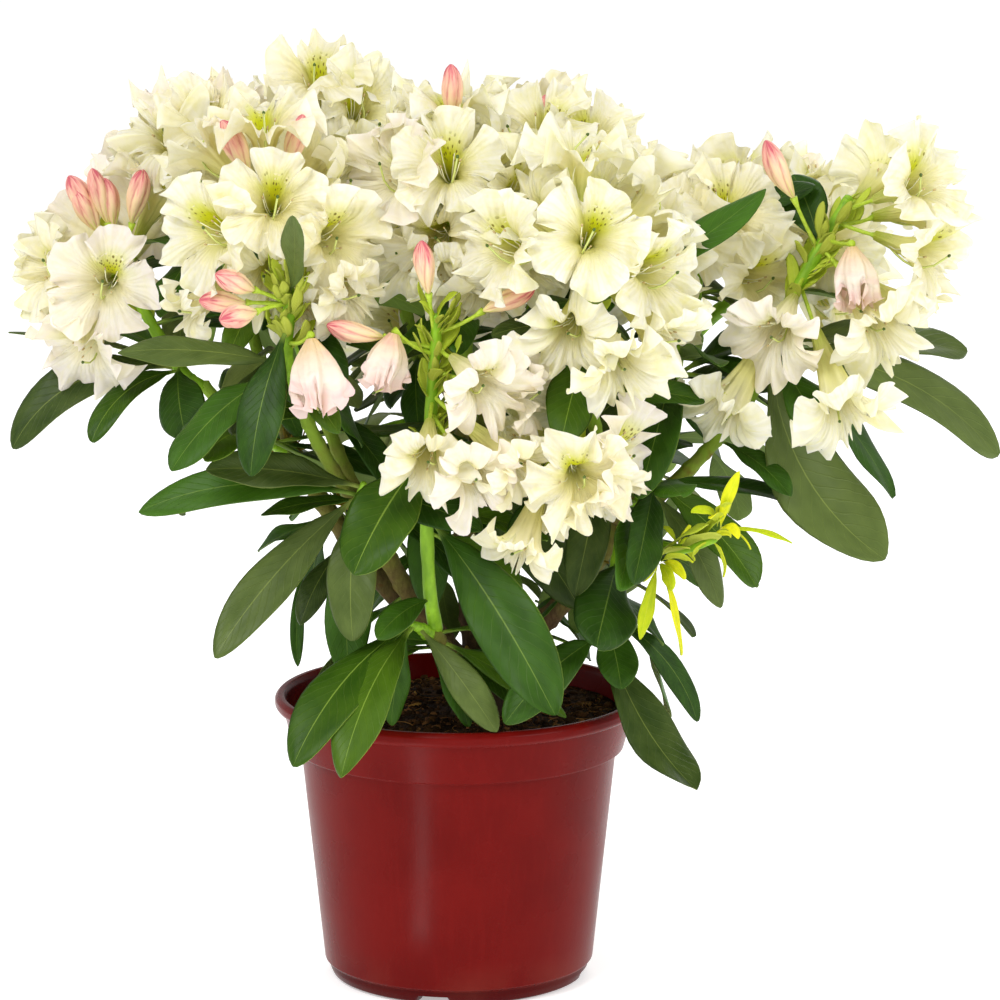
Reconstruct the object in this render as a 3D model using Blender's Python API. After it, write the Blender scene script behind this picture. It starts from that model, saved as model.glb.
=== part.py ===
# Potted rhododendron in full flower: a round nursery pot filled with compost, a short
# trunk that forks near the soil, limbs that fork again, and shoots that carry leaf
# whorls and flower trusses.
# Metres, +Z up. The front is -Y. The origin is the centre of the pot's flat underside.

import math
import random

import bmesh
import bpy
from mathutils import Vector
from mathutils.bvhtree import BVHTree

# Driving dimensions
MM = 0.001
GAP = 0.3 * MM  # clearance between neighbouring solids
MARGIN = 0.012  # share by which a leaf or flower is enlarged when its room is tested

POT_HEIGHT = 181 * MM
RIM_RADIUS = 115 * MM
LIP_HEIGHT = 9 * MM
COLLAR_TOP_RADIUS = 110 * MM
COLLAR_RADIUS = 103.5 * MM
COLLAR_BOTTOM = 147 * MM
BODY_TOP_RADIUS = 98.8 * MM
BODY_RADIUS = 84.5 * MM
FOOT_RADIUS = 81.5 * MM
FOOT_HEIGHT = 11 * MM
FOOT_INNER_RADIUS = 68 * MM
FOOT_ROUND = 6 * MM
CENTRE_PAD_RADIUS = 34 * MM
CHANNEL_HEIGHT = 4 * MM
FLOOR_TOP = CHANNEL_HEIGHT + 2.2 * MM
WALL = 1.9 * MM
POT_SIDES = 32
NOTCH_WIDTH = 20 * MM
NOTCH_HEIGHT = 7.5 * MM
NOTCH_AZIMUTH = -11.6  # degrees from the front
NOTCHES = 4

SOIL_LEVEL = 168 * MM

TRUNK_FOOT = Vector((15, 6, 0)) * MM
TRUNK_FORK = Vector((12, 2, 202)) * MM
TRUNK_FOOT_RADIUS = 21 * MM
TRUNK_RADIUS = 12.5 * MM
FLARE_LENGTH = 11 * MM
FLARE_LOBES = 5
FLARE_LOBE_SHARE = 0.13

LIMB_SIDES = 7
TRUNK_SIDES = 15
LIMB_RINGS = 6
ELBOW_OUT = 0.12  # a limb's middle lies this share of its spread further out
ELBOW_SAG = 0.05  # and this share of its length lower than its chord
START_DEPTH = 0.6  # a limb or shoot starts this many radii inside its carrier's tip
START_OFFSET = 0.45  # and this many radii off the carrier's axis
STEM_SIDES = 5
SHOOT_RADIUS = 4.6 * MM
RACHIS_RADIUS = 2.8 * MM
RACHIS_TOP = 12 * MM  # the truss's axis runs on this far past its centre
SHOOT_END_RADIUS = 1.8 * MM
TRUSS_WHORL = (0.34, 0.50)  # share of the way along a shoot where its leaves start
LEAF_WHORL = (0.5, 0.95)
PETIOLE_WIDTH = 3.4 * MM
LEAF_LENGTHS = (98 * MM, 142 * MM)
LEAF_THINNEST = 1.5 * MM
LEAD_SECTIONS = ((0.13, 0.0), (0.34, 0.86), (0.60, 1.0), (0.85, 0.66))  # place, share of width
GROWN_SECTIONS = ((0.13, 0.0), (0.42, 0.97), (0.76, 0.82))
LOBES = 5
NOTCH_SHARE = 0.80
TUBE_RADIUS = 9.5 * MM
TUBE_SHARE = 0.62  # how far out along a flower its tube opens
THROAT_SHARE = 0.74  # and where its hollow throat ends
BUD_RADIUS = 7.5 * MM
MOUTH_RADIUS = 32 * MM
BUD_EXTRA = 8 * MM  # a bud stands this much further out than the open flowers
BLOOM_SIZES = (1.0, 0.9, 0.78)
LEAF_SIZES = (1.0, 0.9, 0.8, 0.7)
LEAF_SLIMNESS = 0.31  # width to length
LEAF_TRIES = (  # where a rule leaf may turn: swing and dip in degrees, share of its length
    (0, 0, 1), (16, 0, 1), (-16, -8, 1), (30, -14, 0.9), (-30, 8, 0.9), (0, -26, 0.8), (8, 10, 0.7),
)
SPRIG_WIDTH = 9 * MM
SPRIG_LENGTHS = (38 * MM, 60 * MM)
SPRIG_FIRST = -60  # azimuth of the first sprig and the step to the next, in degrees
SPRIG_SWING = 47
TRUSS_LIFT = 0.6  # how far a truss turns upright from its shoot
FLOWER_SPACING = math.radians(43)
GOLDEN_ANGLE = math.pi * (3 - math.sqrt(5))
GOLDEN_SHARE = (math.sqrt(5) - 1) / 2

# Limbs: name, the limb it forks from, its tip in mm, its first and last radius in mm
LIMBS = (
    ("limb_front", "trunk", (-15, -72, 236), 6.5, 5.4),
    ("limb_left", "trunk", (-58, -60, 312), 8.0, 6.0),
    ("limb_far_left", "trunk", (-104, -8, 338), 8.0, 6.0),
    ("limb_centre", "trunk", (0, 24, 330), 10.0, 7.0),
    ("limb_right", "trunk", (104, -34, 300), 9.0, 6.5),
    ("limb_back", "trunk", (44, 82, 300), 8.0, 6.2),
    ("limb_left_front", "limb_left", (-99, -106, 396), 5.6, 4.9),
    ("limb_left_inner", "limb_left", (-92, -52, 402), 5.4, 4.8),
    ("limb_left_tip", "limb_far_left", (-158, -6, 378), 5.4, 4.8),
    ("limb_left_back", "limb_far_left", (-134, 52, 418), 5.4, 4.8),
    ("limb_centre_front", "limb_centre", (6, -26, 418), 6.2, 5.0),
    ("limb_centre_back", "limb_centre", (-38, 92, 424), 6.2, 5.0),
    ("limb_centre_right", "limb_centre", (52, 34, 436), 6.2, 5.0),
    ("limb_right_front", "limb_right", (80, -84, 384), 5.6, 4.9),
    ("limb_right_out", "limb_right", (184, -34, 382), 6.2, 5.2),
    ("limb_right_up", "limb_right", (138, 8, 398), 5.6, 4.9),
    ("limb_back_right", "limb_back", (146, 92, 392), 5.8, 4.9),
    ("limb_back_low", "limb_back", (6, 132, 340), 5.8, 4.9),
)


class Shoot:
    """One mass: a shoot from a limb's tip, its leaf whorls and the truss at its end.

    way: points in mm that the shoot passes, the last one its end.
    reach: how far a flower's mouth lies from the truss centre, in mm.
    flowers, leaves: how many the rule adds to the ones set by hand.
    spread: cosine of the angle from the truss's axis that its lowest flowers reach.
    droop, sector: ranges in degrees for the elevation and azimuth of the rule's leaves.
    faces, buds: open flowers and buds set by hand, each as (azimuth, elevation, drop):
    degrees, 0 towards the front and + to the right, and how many mm down the stalk it starts.
    bells: hanging and half-open flowers, each as (drop, x, y, z of its mouth's centre,
    radius of its mouth), all in mm.
    blades: the leaves that lead the outline, each as (share of the way along the shoot
    where it starts, tip x, y, z in mm, width in mm, bend and turn in degrees).
    sprigs: how many narrow young leaves stand in the tuft at its end.
    """

    def __init__(self, name, limb, seed, way, reach=0, flowers=0, leaves=0, spread=-0.3,
                 droop=(-22, 14), sector=(-180, 180), faces=(), bells=(), buds=(), blades=(),
                 sprigs=0):
        self.name, self.limb, self.seed, self.way = name, limb, seed, way
        self.reach, self.flowers, self.leaves, self.spread = reach, flowers, leaves, spread
        self.droop, self.sector, self.faces, self.bells = droop, sector, faces, bells
        self.buds, self.blades, self.sprigs = buds, blades, sprigs


SHOOTS = (
    Shoot("truss_left", "limb_left_tip", 11, ((-174, -6, 390), (-206, -12, 448)), 60, 7, 2,
          faces=((-66, 6, 0), (-40, -44, 6), (6, 12, 0)),
          buds=((-88, 62, 0), (-66, 74, 0), (50, 74, 0)),
          blades=((0.26, -274, -25, 340, 36, 60, 40),
                  (0.24, -223, -52, 349, 30, 50, 30), (0.30, -164, -64, 352, 36, 40, 0),
                  (0.30, -281, 30, 402, 26, 20, 0))),
    Shoot("truss_left_front", "limb_left_front", 12, ((-101, -112, 408), (-99, -126, 446)),
          46, 0, 1, droop=(-40, -10), bells=((26, -82, -152, 404, 15),),
          buds=((-78, 4, 0), (-58, 24, 0), (-46, -4, 0)),
          blades=((0.30, -201, -128, 417, 26, 22, 35), (0.26, -168, -152, 350, 36, 40, 20),
                  (0.84, -94, -180, 506, 30, -24, 145), (0.20, -122, -140, 376, 34, 30, 10),
                  (0.20, -57, -84, 352, 34, 40, 20))),
    Shoot("truss_low_centre", "limb_front", 26,
          ((-17, -86, 270), (-18, -96, 330), (-12, -120, 428)), 60,
          bells=((6, 18, -164, 402, 27), (24, 46, -136, 392, 24), (44, -18, -160, 356, 24),
                 (52, 12, -166, 346, 25), (40, 38, -156, 352, 22), (14, -42, -136, 410, 12)),
          buds=((-20, 70, 6), (-76, 14, 10), (74, 26, 0)),
          blades=((0.42, 59, -178, 208, 48, 35, 30), (0.56, -60, -174, 292, 48, 25, 20),
                  (0.38, 40, -70, 246, 36, 40, 30), (0.50, 14, -40, 300, 34, 30, 20))),
    Shoot("truss_front_left", "limb_left_inner", 13, ((-100, -58, 426), (-110, -76, 488)), 66, 6, 5,
          faces=((-36, 0, 0), (2, 18, 0), (40, -4, 0)),
          bells=((16, -60, -128, 450, 24), (18, -160, -98, 438, 18)),
          buds=((-52, 60, 0), (40, 66, 0))),
    Shoot("truss_upper_left", "limb_left_back", 14, ((-142, 44, 440), (-160, 34, 502)), 60, 9, 4,
          faces=((-24, 34, 0), (14, 42, 0))),
    Shoot("truss_back_left", "limb_left_back", 15, ((-158, 82, 426), (-184, 112, 452)), 60, 9, 5),
    Shoot("truss_top_left", "limb_centre_back", 16, ((-62, 94, 456), (-84, 92, 510)), 62, 9, 4,
          faces=((-8, 58, 0), (30, 36, 0))),
    Shoot("truss_back", "limb_centre_back", 17, ((-46, 120, 442), (-52, 156, 474)), 60, 9, 5),
    Shoot("truss_centre", "limb_centre_front", 18, ((4, -32, 442), (0, -42, 498)), 64, 8, 5,
          faces=((-6, 26, 0), (-42, 20, 0)), bells=((8, -12, -94, 478, 26), (18, 18, -96, 454, 24)),
          buds=((-8, 76, -14),)),
    Shoot("truss_top_right", "limb_centre_right", 19, ((56, 40, 456), (60, 40, 500)), 62, 9, 4,
          faces=((-10, 36, 0), (34, 34, 0))),
    Shoot("truss_back_right", "limb_centre_right", 20, ((64, 92, 438), (74, 144, 470)), 60, 9, 5),
    Shoot("truss_front_right", "limb_right_front", 21, ((78, -94, 416), (74, -104, 472)), 68, 6, 3,
          faces=((4, 18, 0), (-48, 10, 0), (46, -4, 0)),
          bells=((12, 66, -152, 430, 26), (18, 98, -156, 410, 26), (6, 128, -128, 424, 26)),
          blades=((0.34, 62, -150, 366, 36, 40, 20),)),
    Shoot("truss_right_mid", "limb_right_up", 22, ((146, 16, 420), (150, 20, 456)), 60, 8, 5,
          faces=((-14, 20, 0), (-30, -22, 0), (22, 34, 0)),
          blades=((0.80, 219, -14, 502, 24, 20, 60),)),
    Shoot("truss_right", "limb_right_out", 23, ((202, -30, 430), (234, -20, 486)), 70, 0, 1,
          faces=((50, 22, 0), (60, -14, 6), (104, 8, 8), (92, -38, 24), (146, 14, 0), (176, -12, 16)),
          bells=((44, 190, -78, 417, 27), (56, 162, -70, 372, 29), (50, 233, -88, 374, 29),
                 (24, 258, -76, 422, 29), (18, 240, -70, 450, 13)),
          buds=((-70, 62, 26),),
          blades=((0.14, 230, -80, 334, 40, 40, 25), (0.17, 264, -56, 280, 60, -24, 40),
                  (0.12, 271, 10, 302, 34, 35, 30), (0.18, 319, 40, 390, 36, 20, 20),
                  (0.14, 336, 8, 329, 42, 26, 35), (0.54, 206, 6, 506, 32, 15, 60))),
    Shoot("truss_back_far_right", "limb_back_right", 24, ((170, 96, 412), (204, 104, 442)), 60, 9, 5),
    Shoot("truss_low_back", "limb_back_low", 25, ((-4, 150, 362), (-14, 172, 394)), 56, 8, 5),
    Shoot("truss_low_right", "limb_right_front", 27, ((70, -104, 384), (60, -116, 360)), 44, 0, 0,
          faces=((66, -6, 0), (20, -20, 0), (56, -50, 0)), bells=((0, 36, -148, 298, 24),)),
    Shoot("leaves_left_low", "limb_left", 28, ((-58, -84, 322), (-56, -92, 332)),
          blades=((0.8, -150, -116, 344, 30, 22, 30), (0.5, -193, -84, 312, 36, 26, 30),
                  (0.6, -144, -148, 236, 38, 24, 40), (0.6, -62, -120, 240, 36, 40, 10),
                  (0.4, -66, -74, 206, 34, 20, 60), (0.4, -106, -70, 232, 24, 30, 30))),
    Shoot("leaves_front_low", "limb_front", 29, ((-24, -80, 240), (-34, -84, 244)),
          blades=((0.7, -97, -167, 174, 42, 46, 15), (0.6, -68, -178, 170, 36, 46, 10),
                  (0.8, -40, -104, 184, 22, 20, 60))),
    Shoot("late_shoot_right", "limb_right", 37, ((130, -88, 290), (156, -118, 302)), sprigs=10),
    Shoot("leaves_right_low", "limb_right", 30, ((96, -52, 268), (88, -60, 226)), leaves=2,
          droop=(-50, -10), sector=(110, 190),
          blades=((0.4, 84, -128, 238, 50, 35, 20), (0.95, 29, -124, 190, 32, 40, 20),
                  (0.9, 145, -128, 150, 36, 56, 20), (0.85, 100, -92, 204, 30, 30, 20),
                  (0.8, 148, -44, 172, 24, 50, 40))),
    Shoot("leaves_right", "limb_right", 31, ((112, -50, 314), (124, -60, 330)), leaves=3,
          blades=((0.8, 134, -122, 330, 34, 25, 20), (0.8, 182, -76, 264, 38, 40, 30),
                  (0.7, 162, -44, 244, 26, 30, 40), (0.85, 206, -32, 308, 24, 25, 10))),
    Shoot("leaves_far_left", "limb_far_left", 35, ((-112, -34, 344), (-118, -46, 352)), leaves=7,
          droop=(-45, 0), sector=(-50, 110)),
    Shoot("leaves_centre", "limb_centre", 36, ((-6, -16, 338), (-10, -34, 346)), leaves=9,
          droop=(-55, -5)),
    Shoot("leaves_right_up", "limb_right_up", 38, ((132, -16, 392), (136, -32, 386)), leaves=6,
          droop=(-45, 0)),
    Shoot("leaves_back_left", "limb_far_left", 32, ((-116, 10, 330), (-140, 40, 318)), leaves=8,
          droop=(-28, 6), sector=(-230, -125)),
    Shoot("leaves_back_right", "limb_back", 33, ((76, 104, 312), (108, 112, 306)), leaves=8,
          droop=(-45, 0), sector=(80, 215)),
    Shoot("leaves_back", "limb_back_low", 34, ((-24, 138, 330), (-54, 146, 322)), leaves=7,
          droop=(-45, 0), sector=(110, 260)),
)


def clear_scene():
    for obj in list(bpy.data.objects):
        bpy.data.objects.remove(obj, do_unlink=True)


def material(name, colour, roughness, metallic=0.0):
    mat = bpy.data.materials.new(name)
    mat.use_nodes = True
    shader = mat.node_tree.nodes["Principled BSDF"]
    shader.inputs["Base Color"].default_value = (*colour, 1.0)
    shader.inputs["Roughness"].default_value = roughness
    shader.inputs["Metallic"].default_value = metallic
    mat.diffuse_color = (*colour, 1.0)
    return mat


def new_object(name, verts, faces, mat=None, collection=None):
    mesh = bpy.data.meshes.new(name)
    mesh.from_pydata(verts, [], faces)
    if mat:
        mesh.materials.append(mat)
    obj = bpy.data.objects.new(name, mesh)
    (collection or bpy.context.scene.collection).objects.link(obj)
    return obj


def bake_modifiers(obj):
    """Replaces the object's mesh by its evaluated one."""
    graph = bpy.context.evaluated_depsgraph_get()
    mesh = bpy.data.meshes.new_from_object(obj.evaluated_get(graph))
    obj.modifiers.clear()
    obj.data = mesh


def keep_main_shell(obj):
    """Drops loose scraps and the walls of sealed hollows: all shells but the largest."""
    bm = bmesh.new()
    bm.from_mesh(obj.data)
    bmesh.ops.triangulate(bm, faces=bm.faces[:])
    unseen = set(bm.verts)
    shells = []
    while unseen:
        stack = [unseen.pop()]
        shell = []
        while stack:
            vert = stack.pop()
            shell.append(vert)
            for edge in vert.link_edges:
                other = edge.other_vert(vert)
                if other in unseen:
                    unseen.discard(other)
                    stack.append(other)
        shells.append(shell)
    shells.sort(key=len)
    bmesh.ops.delete(bm, geom=[v for shell in shells[:-1] for v in shell], context="VERTS")
    bm.to_mesh(obj.data)
    bm.free()


def cut(obj, cutters):
    """Takes the cutters away from the object; each is the neighbour grown by the gap."""
    for cutter in cutters:
        mod = obj.modifiers.new("clearance", "BOOLEAN")
        mod.operation = "DIFFERENCE"
        mod.object = cutter
    bake_modifiers(obj)
    for cutter in cutters:
        bpy.data.objects.remove(cutter, do_unlink=True)
    keep_main_shell(obj)


def turned(name, profile, sides, mat):
    """A closed profile of (radius, height) turned round Z; points on the axis are poles."""
    verts, rows = [], []
    for radius, height in profile:
        if radius == 0:
            rows.append([len(verts)] * sides)
            verts.append((0, 0, height))
            continue
        rows.append(list(range(len(verts), len(verts) + sides)))
        for i in range(sides):
            angle = math.tau * i / sides
            verts.append((radius * math.cos(angle), radius * math.sin(angle), height))
    faces = []
    for low, high in zip(rows, rows[1:]):
        for i in range(sides):
            j = (i + 1) % sides
            face = [low[i], low[j], high[j], high[i]]
            face = [v for k, v in enumerate(face) if v not in face[:k]]
            faces.append(face)
    obj = new_object(name, verts, faces, mat)
    obj.data.shade_smooth()
    obj.data.set_sharp_from_angle(angle=math.radians(35))
    return obj


def pot_inner_radius(height):
    """Radius of the pot's inner wall at a height above its floor."""
    if height > COLLAR_BOTTOM:
        share = (height - COLLAR_BOTTOM) / (POT_HEIGHT - COLLAR_BOTTOM)
        return COLLAR_RADIUS - WALL + share * (COLLAR_TOP_RADIUS - COLLAR_RADIUS)
    share = (height - FOOT_HEIGHT) / (COLLAR_BOTTOM - FOOT_HEIGHT)
    return BODY_RADIUS - WALL + share * (BODY_TOP_RADIUS - BODY_RADIUS)


def make_pot():
    outer = [
        (0, 0),
        (CENTRE_PAD_RADIUS, 0),
        (CENTRE_PAD_RADIUS + 2 * MM, CHANNEL_HEIGHT),
        (FOOT_INNER_RADIUS - 2 * MM, CHANNEL_HEIGHT),
        (FOOT_INNER_RADIUS, 0),
        (FOOT_RADIUS - FOOT_ROUND, 0),
        (FOOT_RADIUS - FOOT_ROUND * 0.3, FOOT_ROUND * 0.3),
        (FOOT_RADIUS, FOOT_ROUND),
        (FOOT_RADIUS, FOOT_HEIGHT - 1.5 * MM),
        (BODY_RADIUS, FOOT_HEIGHT),
        (BODY_TOP_RADIUS, COLLAR_BOTTOM - 1 * MM),
        (COLLAR_RADIUS, COLLAR_BOTTOM),
        (COLLAR_TOP_RADIUS, POT_HEIGHT - LIP_HEIGHT),
        (RIM_RADIUS - 2 * MM, POT_HEIGHT - LIP_HEIGHT),
        (RIM_RADIUS, POT_HEIGHT - LIP_HEIGHT + 2.5 * MM),
        (RIM_RADIUS, POT_HEIGHT - 2.5 * MM),
        (RIM_RADIUS - 2.2 * MM, POT_HEIGHT),
        (RIM_RADIUS - 5.5 * MM, POT_HEIGHT),
    ]
    inner = [
        (pot_inner_radius(POT_HEIGHT - 3 * MM), POT_HEIGHT - 3 * MM),
        (pot_inner_radius(COLLAR_BOTTOM + 1 * MM), COLLAR_BOTTOM + 1 * MM),
        (pot_inner_radius(COLLAR_BOTTOM - 1 * MM), COLLAR_BOTTOM - 1 * MM),
        (pot_inner_radius(FLOOR_TOP + 6 * MM), FLOOR_TOP + 6 * MM),
        (pot_inner_radius(FLOOR_TOP) - 6 * MM, FLOOR_TOP),
        (0, FLOOR_TOP),
    ]
    plastic = material("moulded_polypropylene", (0.19, 0.012, 0.011), 0.28)
    pot = turned("pot", outer + inner, POT_SIDES, plastic)
    cutters = []
    for i in range(NOTCHES):
        angle = math.radians(NOTCH_AZIMUTH) + math.tau * i / NOTCHES
        out = Vector((math.sin(angle), -math.cos(angle), 0))
        side = Vector((-out.y, out.x, 0))
        verts = [
            out * r + side * s * NOTCH_WIDTH / 2 + Vector((0, 0, z))
            for r in (FOOT_INNER_RADIUS - 6 * MM, FOOT_RADIUS + 5 * MM)
            for s in (-1, 1)
            for z in (-5 * MM, NOTCH_HEIGHT - 3.8 * MM)
        ]
        faces = [(0, 1, 3, 2), (4, 6, 7, 5), (0, 4, 5, 1), (2, 3, 7, 6), (0, 2, 6, 4), (1, 5, 7, 3)]
        cutters.append(new_object("notch", verts, faces))
    cut(pot, cutters)
    return pot


def make_compost():
    """Fills the pot from its floor to the soil level, the gap clear of the wall."""
    low = FLOOR_TOP + GAP
    corner = FLOOR_TOP + 6 * MM
    profile = [
        (0, low),
        (pot_inner_radius(FLOOR_TOP) - 6 * MM - GAP, low),
        (pot_inner_radius(corner) - GAP, corner + GAP),
        (pot_inner_radius(COLLAR_BOTTOM - 1 * MM) - GAP, COLLAR_BOTTOM - 1 * MM + GAP),
        (pot_inner_radius(COLLAR_BOTTOM + 1 * MM) - GAP, COLLAR_BOTTOM + 1 * MM + GAP),
        (pot_inner_radius(SOIL_LEVEL) - 2 * GAP, SOIL_LEVEL),
        (0, SOIL_LEVEL),
    ]
    peat = material("moist_peat_compost", (0.022, 0.012, 0.007), 0.95)
    return turned("compost", profile, POT_SIDES, peat)


def frame_along(direction):
    """Two unit vectors square to a direction, the second one as upright as it can be."""
    side = direction.cross(Vector((0, 0, 1)))
    if side.length < 0.05:
        side = direction.cross(Vector((0, -1, 0)))
    side.normalize()
    return side, side.cross(direction).normalized()


def tube(points, radii, sides, lobes=0, lobe_shares=None):
    """Closed tube of flat sides along points; its rings turn with the path."""
    verts, faces = [], []
    side, up = None, None
    for i, point in enumerate(points):
        ahead = points[min(i + 1, len(points) - 1)] - points[max(i - 1, 0)]
        ahead.normalize()
        if side is None:
            side, up = frame_along(ahead)
        else:
            side = (side - ahead * side.dot(ahead)).normalized()
            up = side.cross(ahead).normalized()
        for k in range(sides):
            turn = math.tau * k / sides
            swell = 1.0
            if lobes:
                swell += lobe_shares[i] * math.cos(lobes * turn)
            verts.append(point + (side * math.cos(turn) + up * math.sin(turn)) * radii[i] * swell)
    for i in range(len(points) - 1):
        for k in range(sides):
            j = (k + 1) % sides
            faces.append((i * sides + k, i * sides + sides + k, i * sides + sides + j, i * sides + j))
    faces.append(tuple(range(sides)))
    faces.append(tuple(reversed(range(len(verts) - sides, len(verts)))))
    return verts, faces


def bezier(a, b, c, share):
    return a * (1 - share) ** 2 + b * 2 * share * (1 - share) + c * share ** 2


def limb_path(start, end, count):
    """A limb leaves its fork outwards and turns up towards its tip."""
    elbow = start.lerp(end, 0.5)
    elbow += Vector((end.x - start.x, end.y - start.y, 0)) * ELBOW_OUT
    elbow.z -= (end - start).length * ELBOW_SAG
    return [bezier(start, elbow, end, i / (count - 1)) for i in range(count)]


def grown(path, radii, sides):
    """A limb or stem made larger by the gap all round, to cut what starts inside it."""
    path = [p.copy() for p in path]
    path[-1] += (path[-1] - path[-2]).normalized() * GAP
    path[0] -= (path[1] - path[0]).normalized() * GAP
    scale = 1 / math.cos(math.pi / sides)
    verts, faces = tube(path, [r + GAP * scale for r in radii], sides)
    return new_object("clearance", verts, faces)


def start_inside(tip_path, tip_radius, target):
    """Where a limb or shoot starts: in its carrier's tip, off centre towards its target."""
    tip = tip_path[-1]
    ahead = (tip - tip_path[-2]).normalized()
    out = target - tip
    out -= ahead * out.dot(ahead)
    offset = out.normalized() * tip_radius * START_OFFSET if out.length > 1e-6 else Vector()
    return tip - ahead * tip_radius * START_DEPTH + offset


def trunk_path():
    heights = (0, 5, 12, 22, 34)
    length = TRUNK_FORK.z - SOIL_LEVEL - GAP
    foot = TRUNK_FOOT + Vector((0, 0, SOIL_LEVEL + GAP))
    return [foot.lerp(TRUNK_FORK, min(h * MM / length, 1.0)) for h in heights]


def make_trunk(bark):
    """Short trunk with a root flare and a flat foot on the soil."""
    path = trunk_path()
    flare = [math.exp(-(p.z - path[0].z) / FLARE_LENGTH) for p in path]
    radii = [TRUNK_RADIUS + (TRUNK_FOOT_RADIUS - TRUNK_RADIUS) * f for f in flare]
    shares = [FLARE_LOBE_SHARE * f for f in flare]
    verts, faces = tube(path, radii, TRUNK_SIDES, FLARE_LOBES, shares)
    level = SOIL_LEVEL + GAP
    verts = [Vector((v.x, v.y, level)) if i < TRUNK_SIDES else v for i, v in enumerate(verts)]
    return path, radii, new_object("trunk", verts, faces, bark)


def make_limbs():
    """Trunk and limbs, each cut clear of the limb it forks from and of its elder sisters."""
    bark = material("rhododendron_bark", (0.16, 0.12, 0.05), 0.7)
    path, radii, obj = make_trunk(bark)
    limbs = {"trunk": (path, radii, TRUNK_SIDES, obj)}
    children = {}
    for name, parent, tip, first, last in LIMBS:
        tip = Vector(tip) * MM
        parent_path, parent_radii = limbs[parent][0], limbs[parent][1]
        start = start_inside(parent_path, parent_radii[-1], tip)
        path = limb_path(start, tip, LIMB_RINGS)
        radii = [(first + (last - first) * i / (LIMB_RINGS - 1)) * MM for i in range(LIMB_RINGS)]
        verts, faces = tube(path, radii, LIMB_SIDES)
        obj = new_object(name, verts, faces, bark)
        elders = [parent] + children.setdefault(parent, [])
        cut(obj, [grown(*limbs[elder][:3]) for elder in elders])
        children[parent].append(name)
        limbs[name] = (path, radii, LIMB_SIDES, obj)
    return limbs, children


def heading(azimuth, elevation):
    """Unit vector: azimuth 0 towards the front and + to the right, in degrees."""
    azimuth, elevation = math.radians(azimuth), math.radians(elevation)
    flat = math.cos(elevation)
    return Vector((math.sin(azimuth) * flat, -math.cos(azimuth) * flat, math.sin(elevation)))


def leaf(base, tip, width, bend, turn, outward, sections=LEAD_SECTIONS):
    """A leaf on an arc from base to tip: petiole, blade with a raised midrib, point.

    The arc turns through bend degrees. The blade is rolled by turn degrees so that its
    upper face comes round to the front.
    """
    chord = tip - base
    length = chord.length
    ahead = chord.normalized()
    rise = Vector((0, 0, 1)) + outward * 0.35
    rise = (rise - ahead * rise.dot(ahead)).normalized()
    half = math.radians(bend) / 2
    radius = length / (2 * math.sin(half))
    thick = max(length / 90, LEAF_THINNEST)
    verts, faces = [base], []
    for share, swell in sections:
        angle = half * (2 * share - 1)
        point = base + ahead * radius * (math.sin(angle) + math.sin(half))
        point += rise * radius * (math.cos(angle) - math.cos(half))
        along = ahead * math.cos(angle) - rise * math.sin(angle)
        normal = rise * math.cos(angle) + ahead * math.sin(angle)
        side = along.cross(normal)
        front = side if side.y < 0 else -side
        roll = math.radians(turn)
        normal = normal * math.cos(roll) + front * math.sin(roll)
        side = along.cross(normal)
        reach = max(PETIOLE_WIDTH, width * swell) / 2
        ridge = thick if swell else PETIOLE_WIDTH * 0.8
        verts += [point - side * reach, point + side * reach, point + normal * ridge]
    verts.append(tip)
    faces += [(0, 2, 1), (0, 3, 2), (0, 1, 3)]
    last = len(verts) - 4
    for first in range(1, last, 3):
        for i in range(3):
            a, b = first + i, first + (i + 1) % 3
            faces += [(a, b, b + 3), (a, b + 3, a + 3)]
    faces += [(last, last + 1, last + 3), (last + 1, last + 2, last + 3), (last + 2, last, last + 3)]
    return verts, faces


def flower(base, aim, reach, mouth):
    """A funnel flower: a slim stalk and tube, a rim of five lobes, a hollow throat."""
    side, up = frame_along(aim)
    verts = [base]
    for k in range(LOBES):
        turn = math.tau * k / LOBES
        out = side * math.cos(turn) + up * math.sin(turn)
        verts.append(base + aim * reach * TUBE_SHARE + out * TUBE_RADIUS)
    for k in range(2 * LOBES):
        turn = math.tau * (k - 0.5) / (2 * LOBES) + math.pi / (2 * LOBES)
        lobe = 1.0 if k % 2 == 0 else NOTCH_SHARE
        out = side * math.cos(turn) + up * math.sin(turn)
        verts.append(base + aim * reach * (0.98 if k % 2 == 0 else 1.0) + out * mouth * lobe)
    verts.append(base + aim * reach * THROAT_SHARE)
    faces = []
    for k in range(LOBES):
        a, b = 1 + k, 1 + (k + 1) % LOBES
        tip, notch, after = 6 + 2 * k, 7 + 2 * k, 6 + (2 * k + 2) % 10
        faces += [(0, b, a), (a, notch, tip), (a, b, notch), (b, after, notch)]
    for k in range(2 * LOBES):
        faces.append((16, 6 + k, 6 + (k + 1) % (2 * LOBES)))
    return verts, faces


def bud(base, aim, reach):
    """A closed bud: a slim stalk and a spindle of four sides."""
    side, up = frame_along(aim)
    verts = [base]
    for share, radius in ((0.5, 2.4 * MM), (0.80, BUD_RADIUS)):
        for k in range(4):
            turn = math.tau * k / 4
            out = side * math.cos(turn) + up * math.sin(turn)
            verts.append(base + aim * reach * share + out * radius)
    verts.append(base + aim * reach)
    faces = []
    for k in range(4):
        a, b = 1 + k, 1 + (k + 1) % 4
        faces += [(0, b, a), (a, b, b + 4), (a, b + 4, a + 4), (a + 4, b + 4, 9)]
    return verts, faces


def enlarged(verts):
    centre = sum(verts, Vector()) / len(verts)
    return [centre + (v - centre) * (1 + MARGIN) for v in verts]


FUSES = {"bloom": "truss", "bud": "truss", "leaf": "whorl", "sprig": "whorl", "stem": "stem"}


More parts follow.
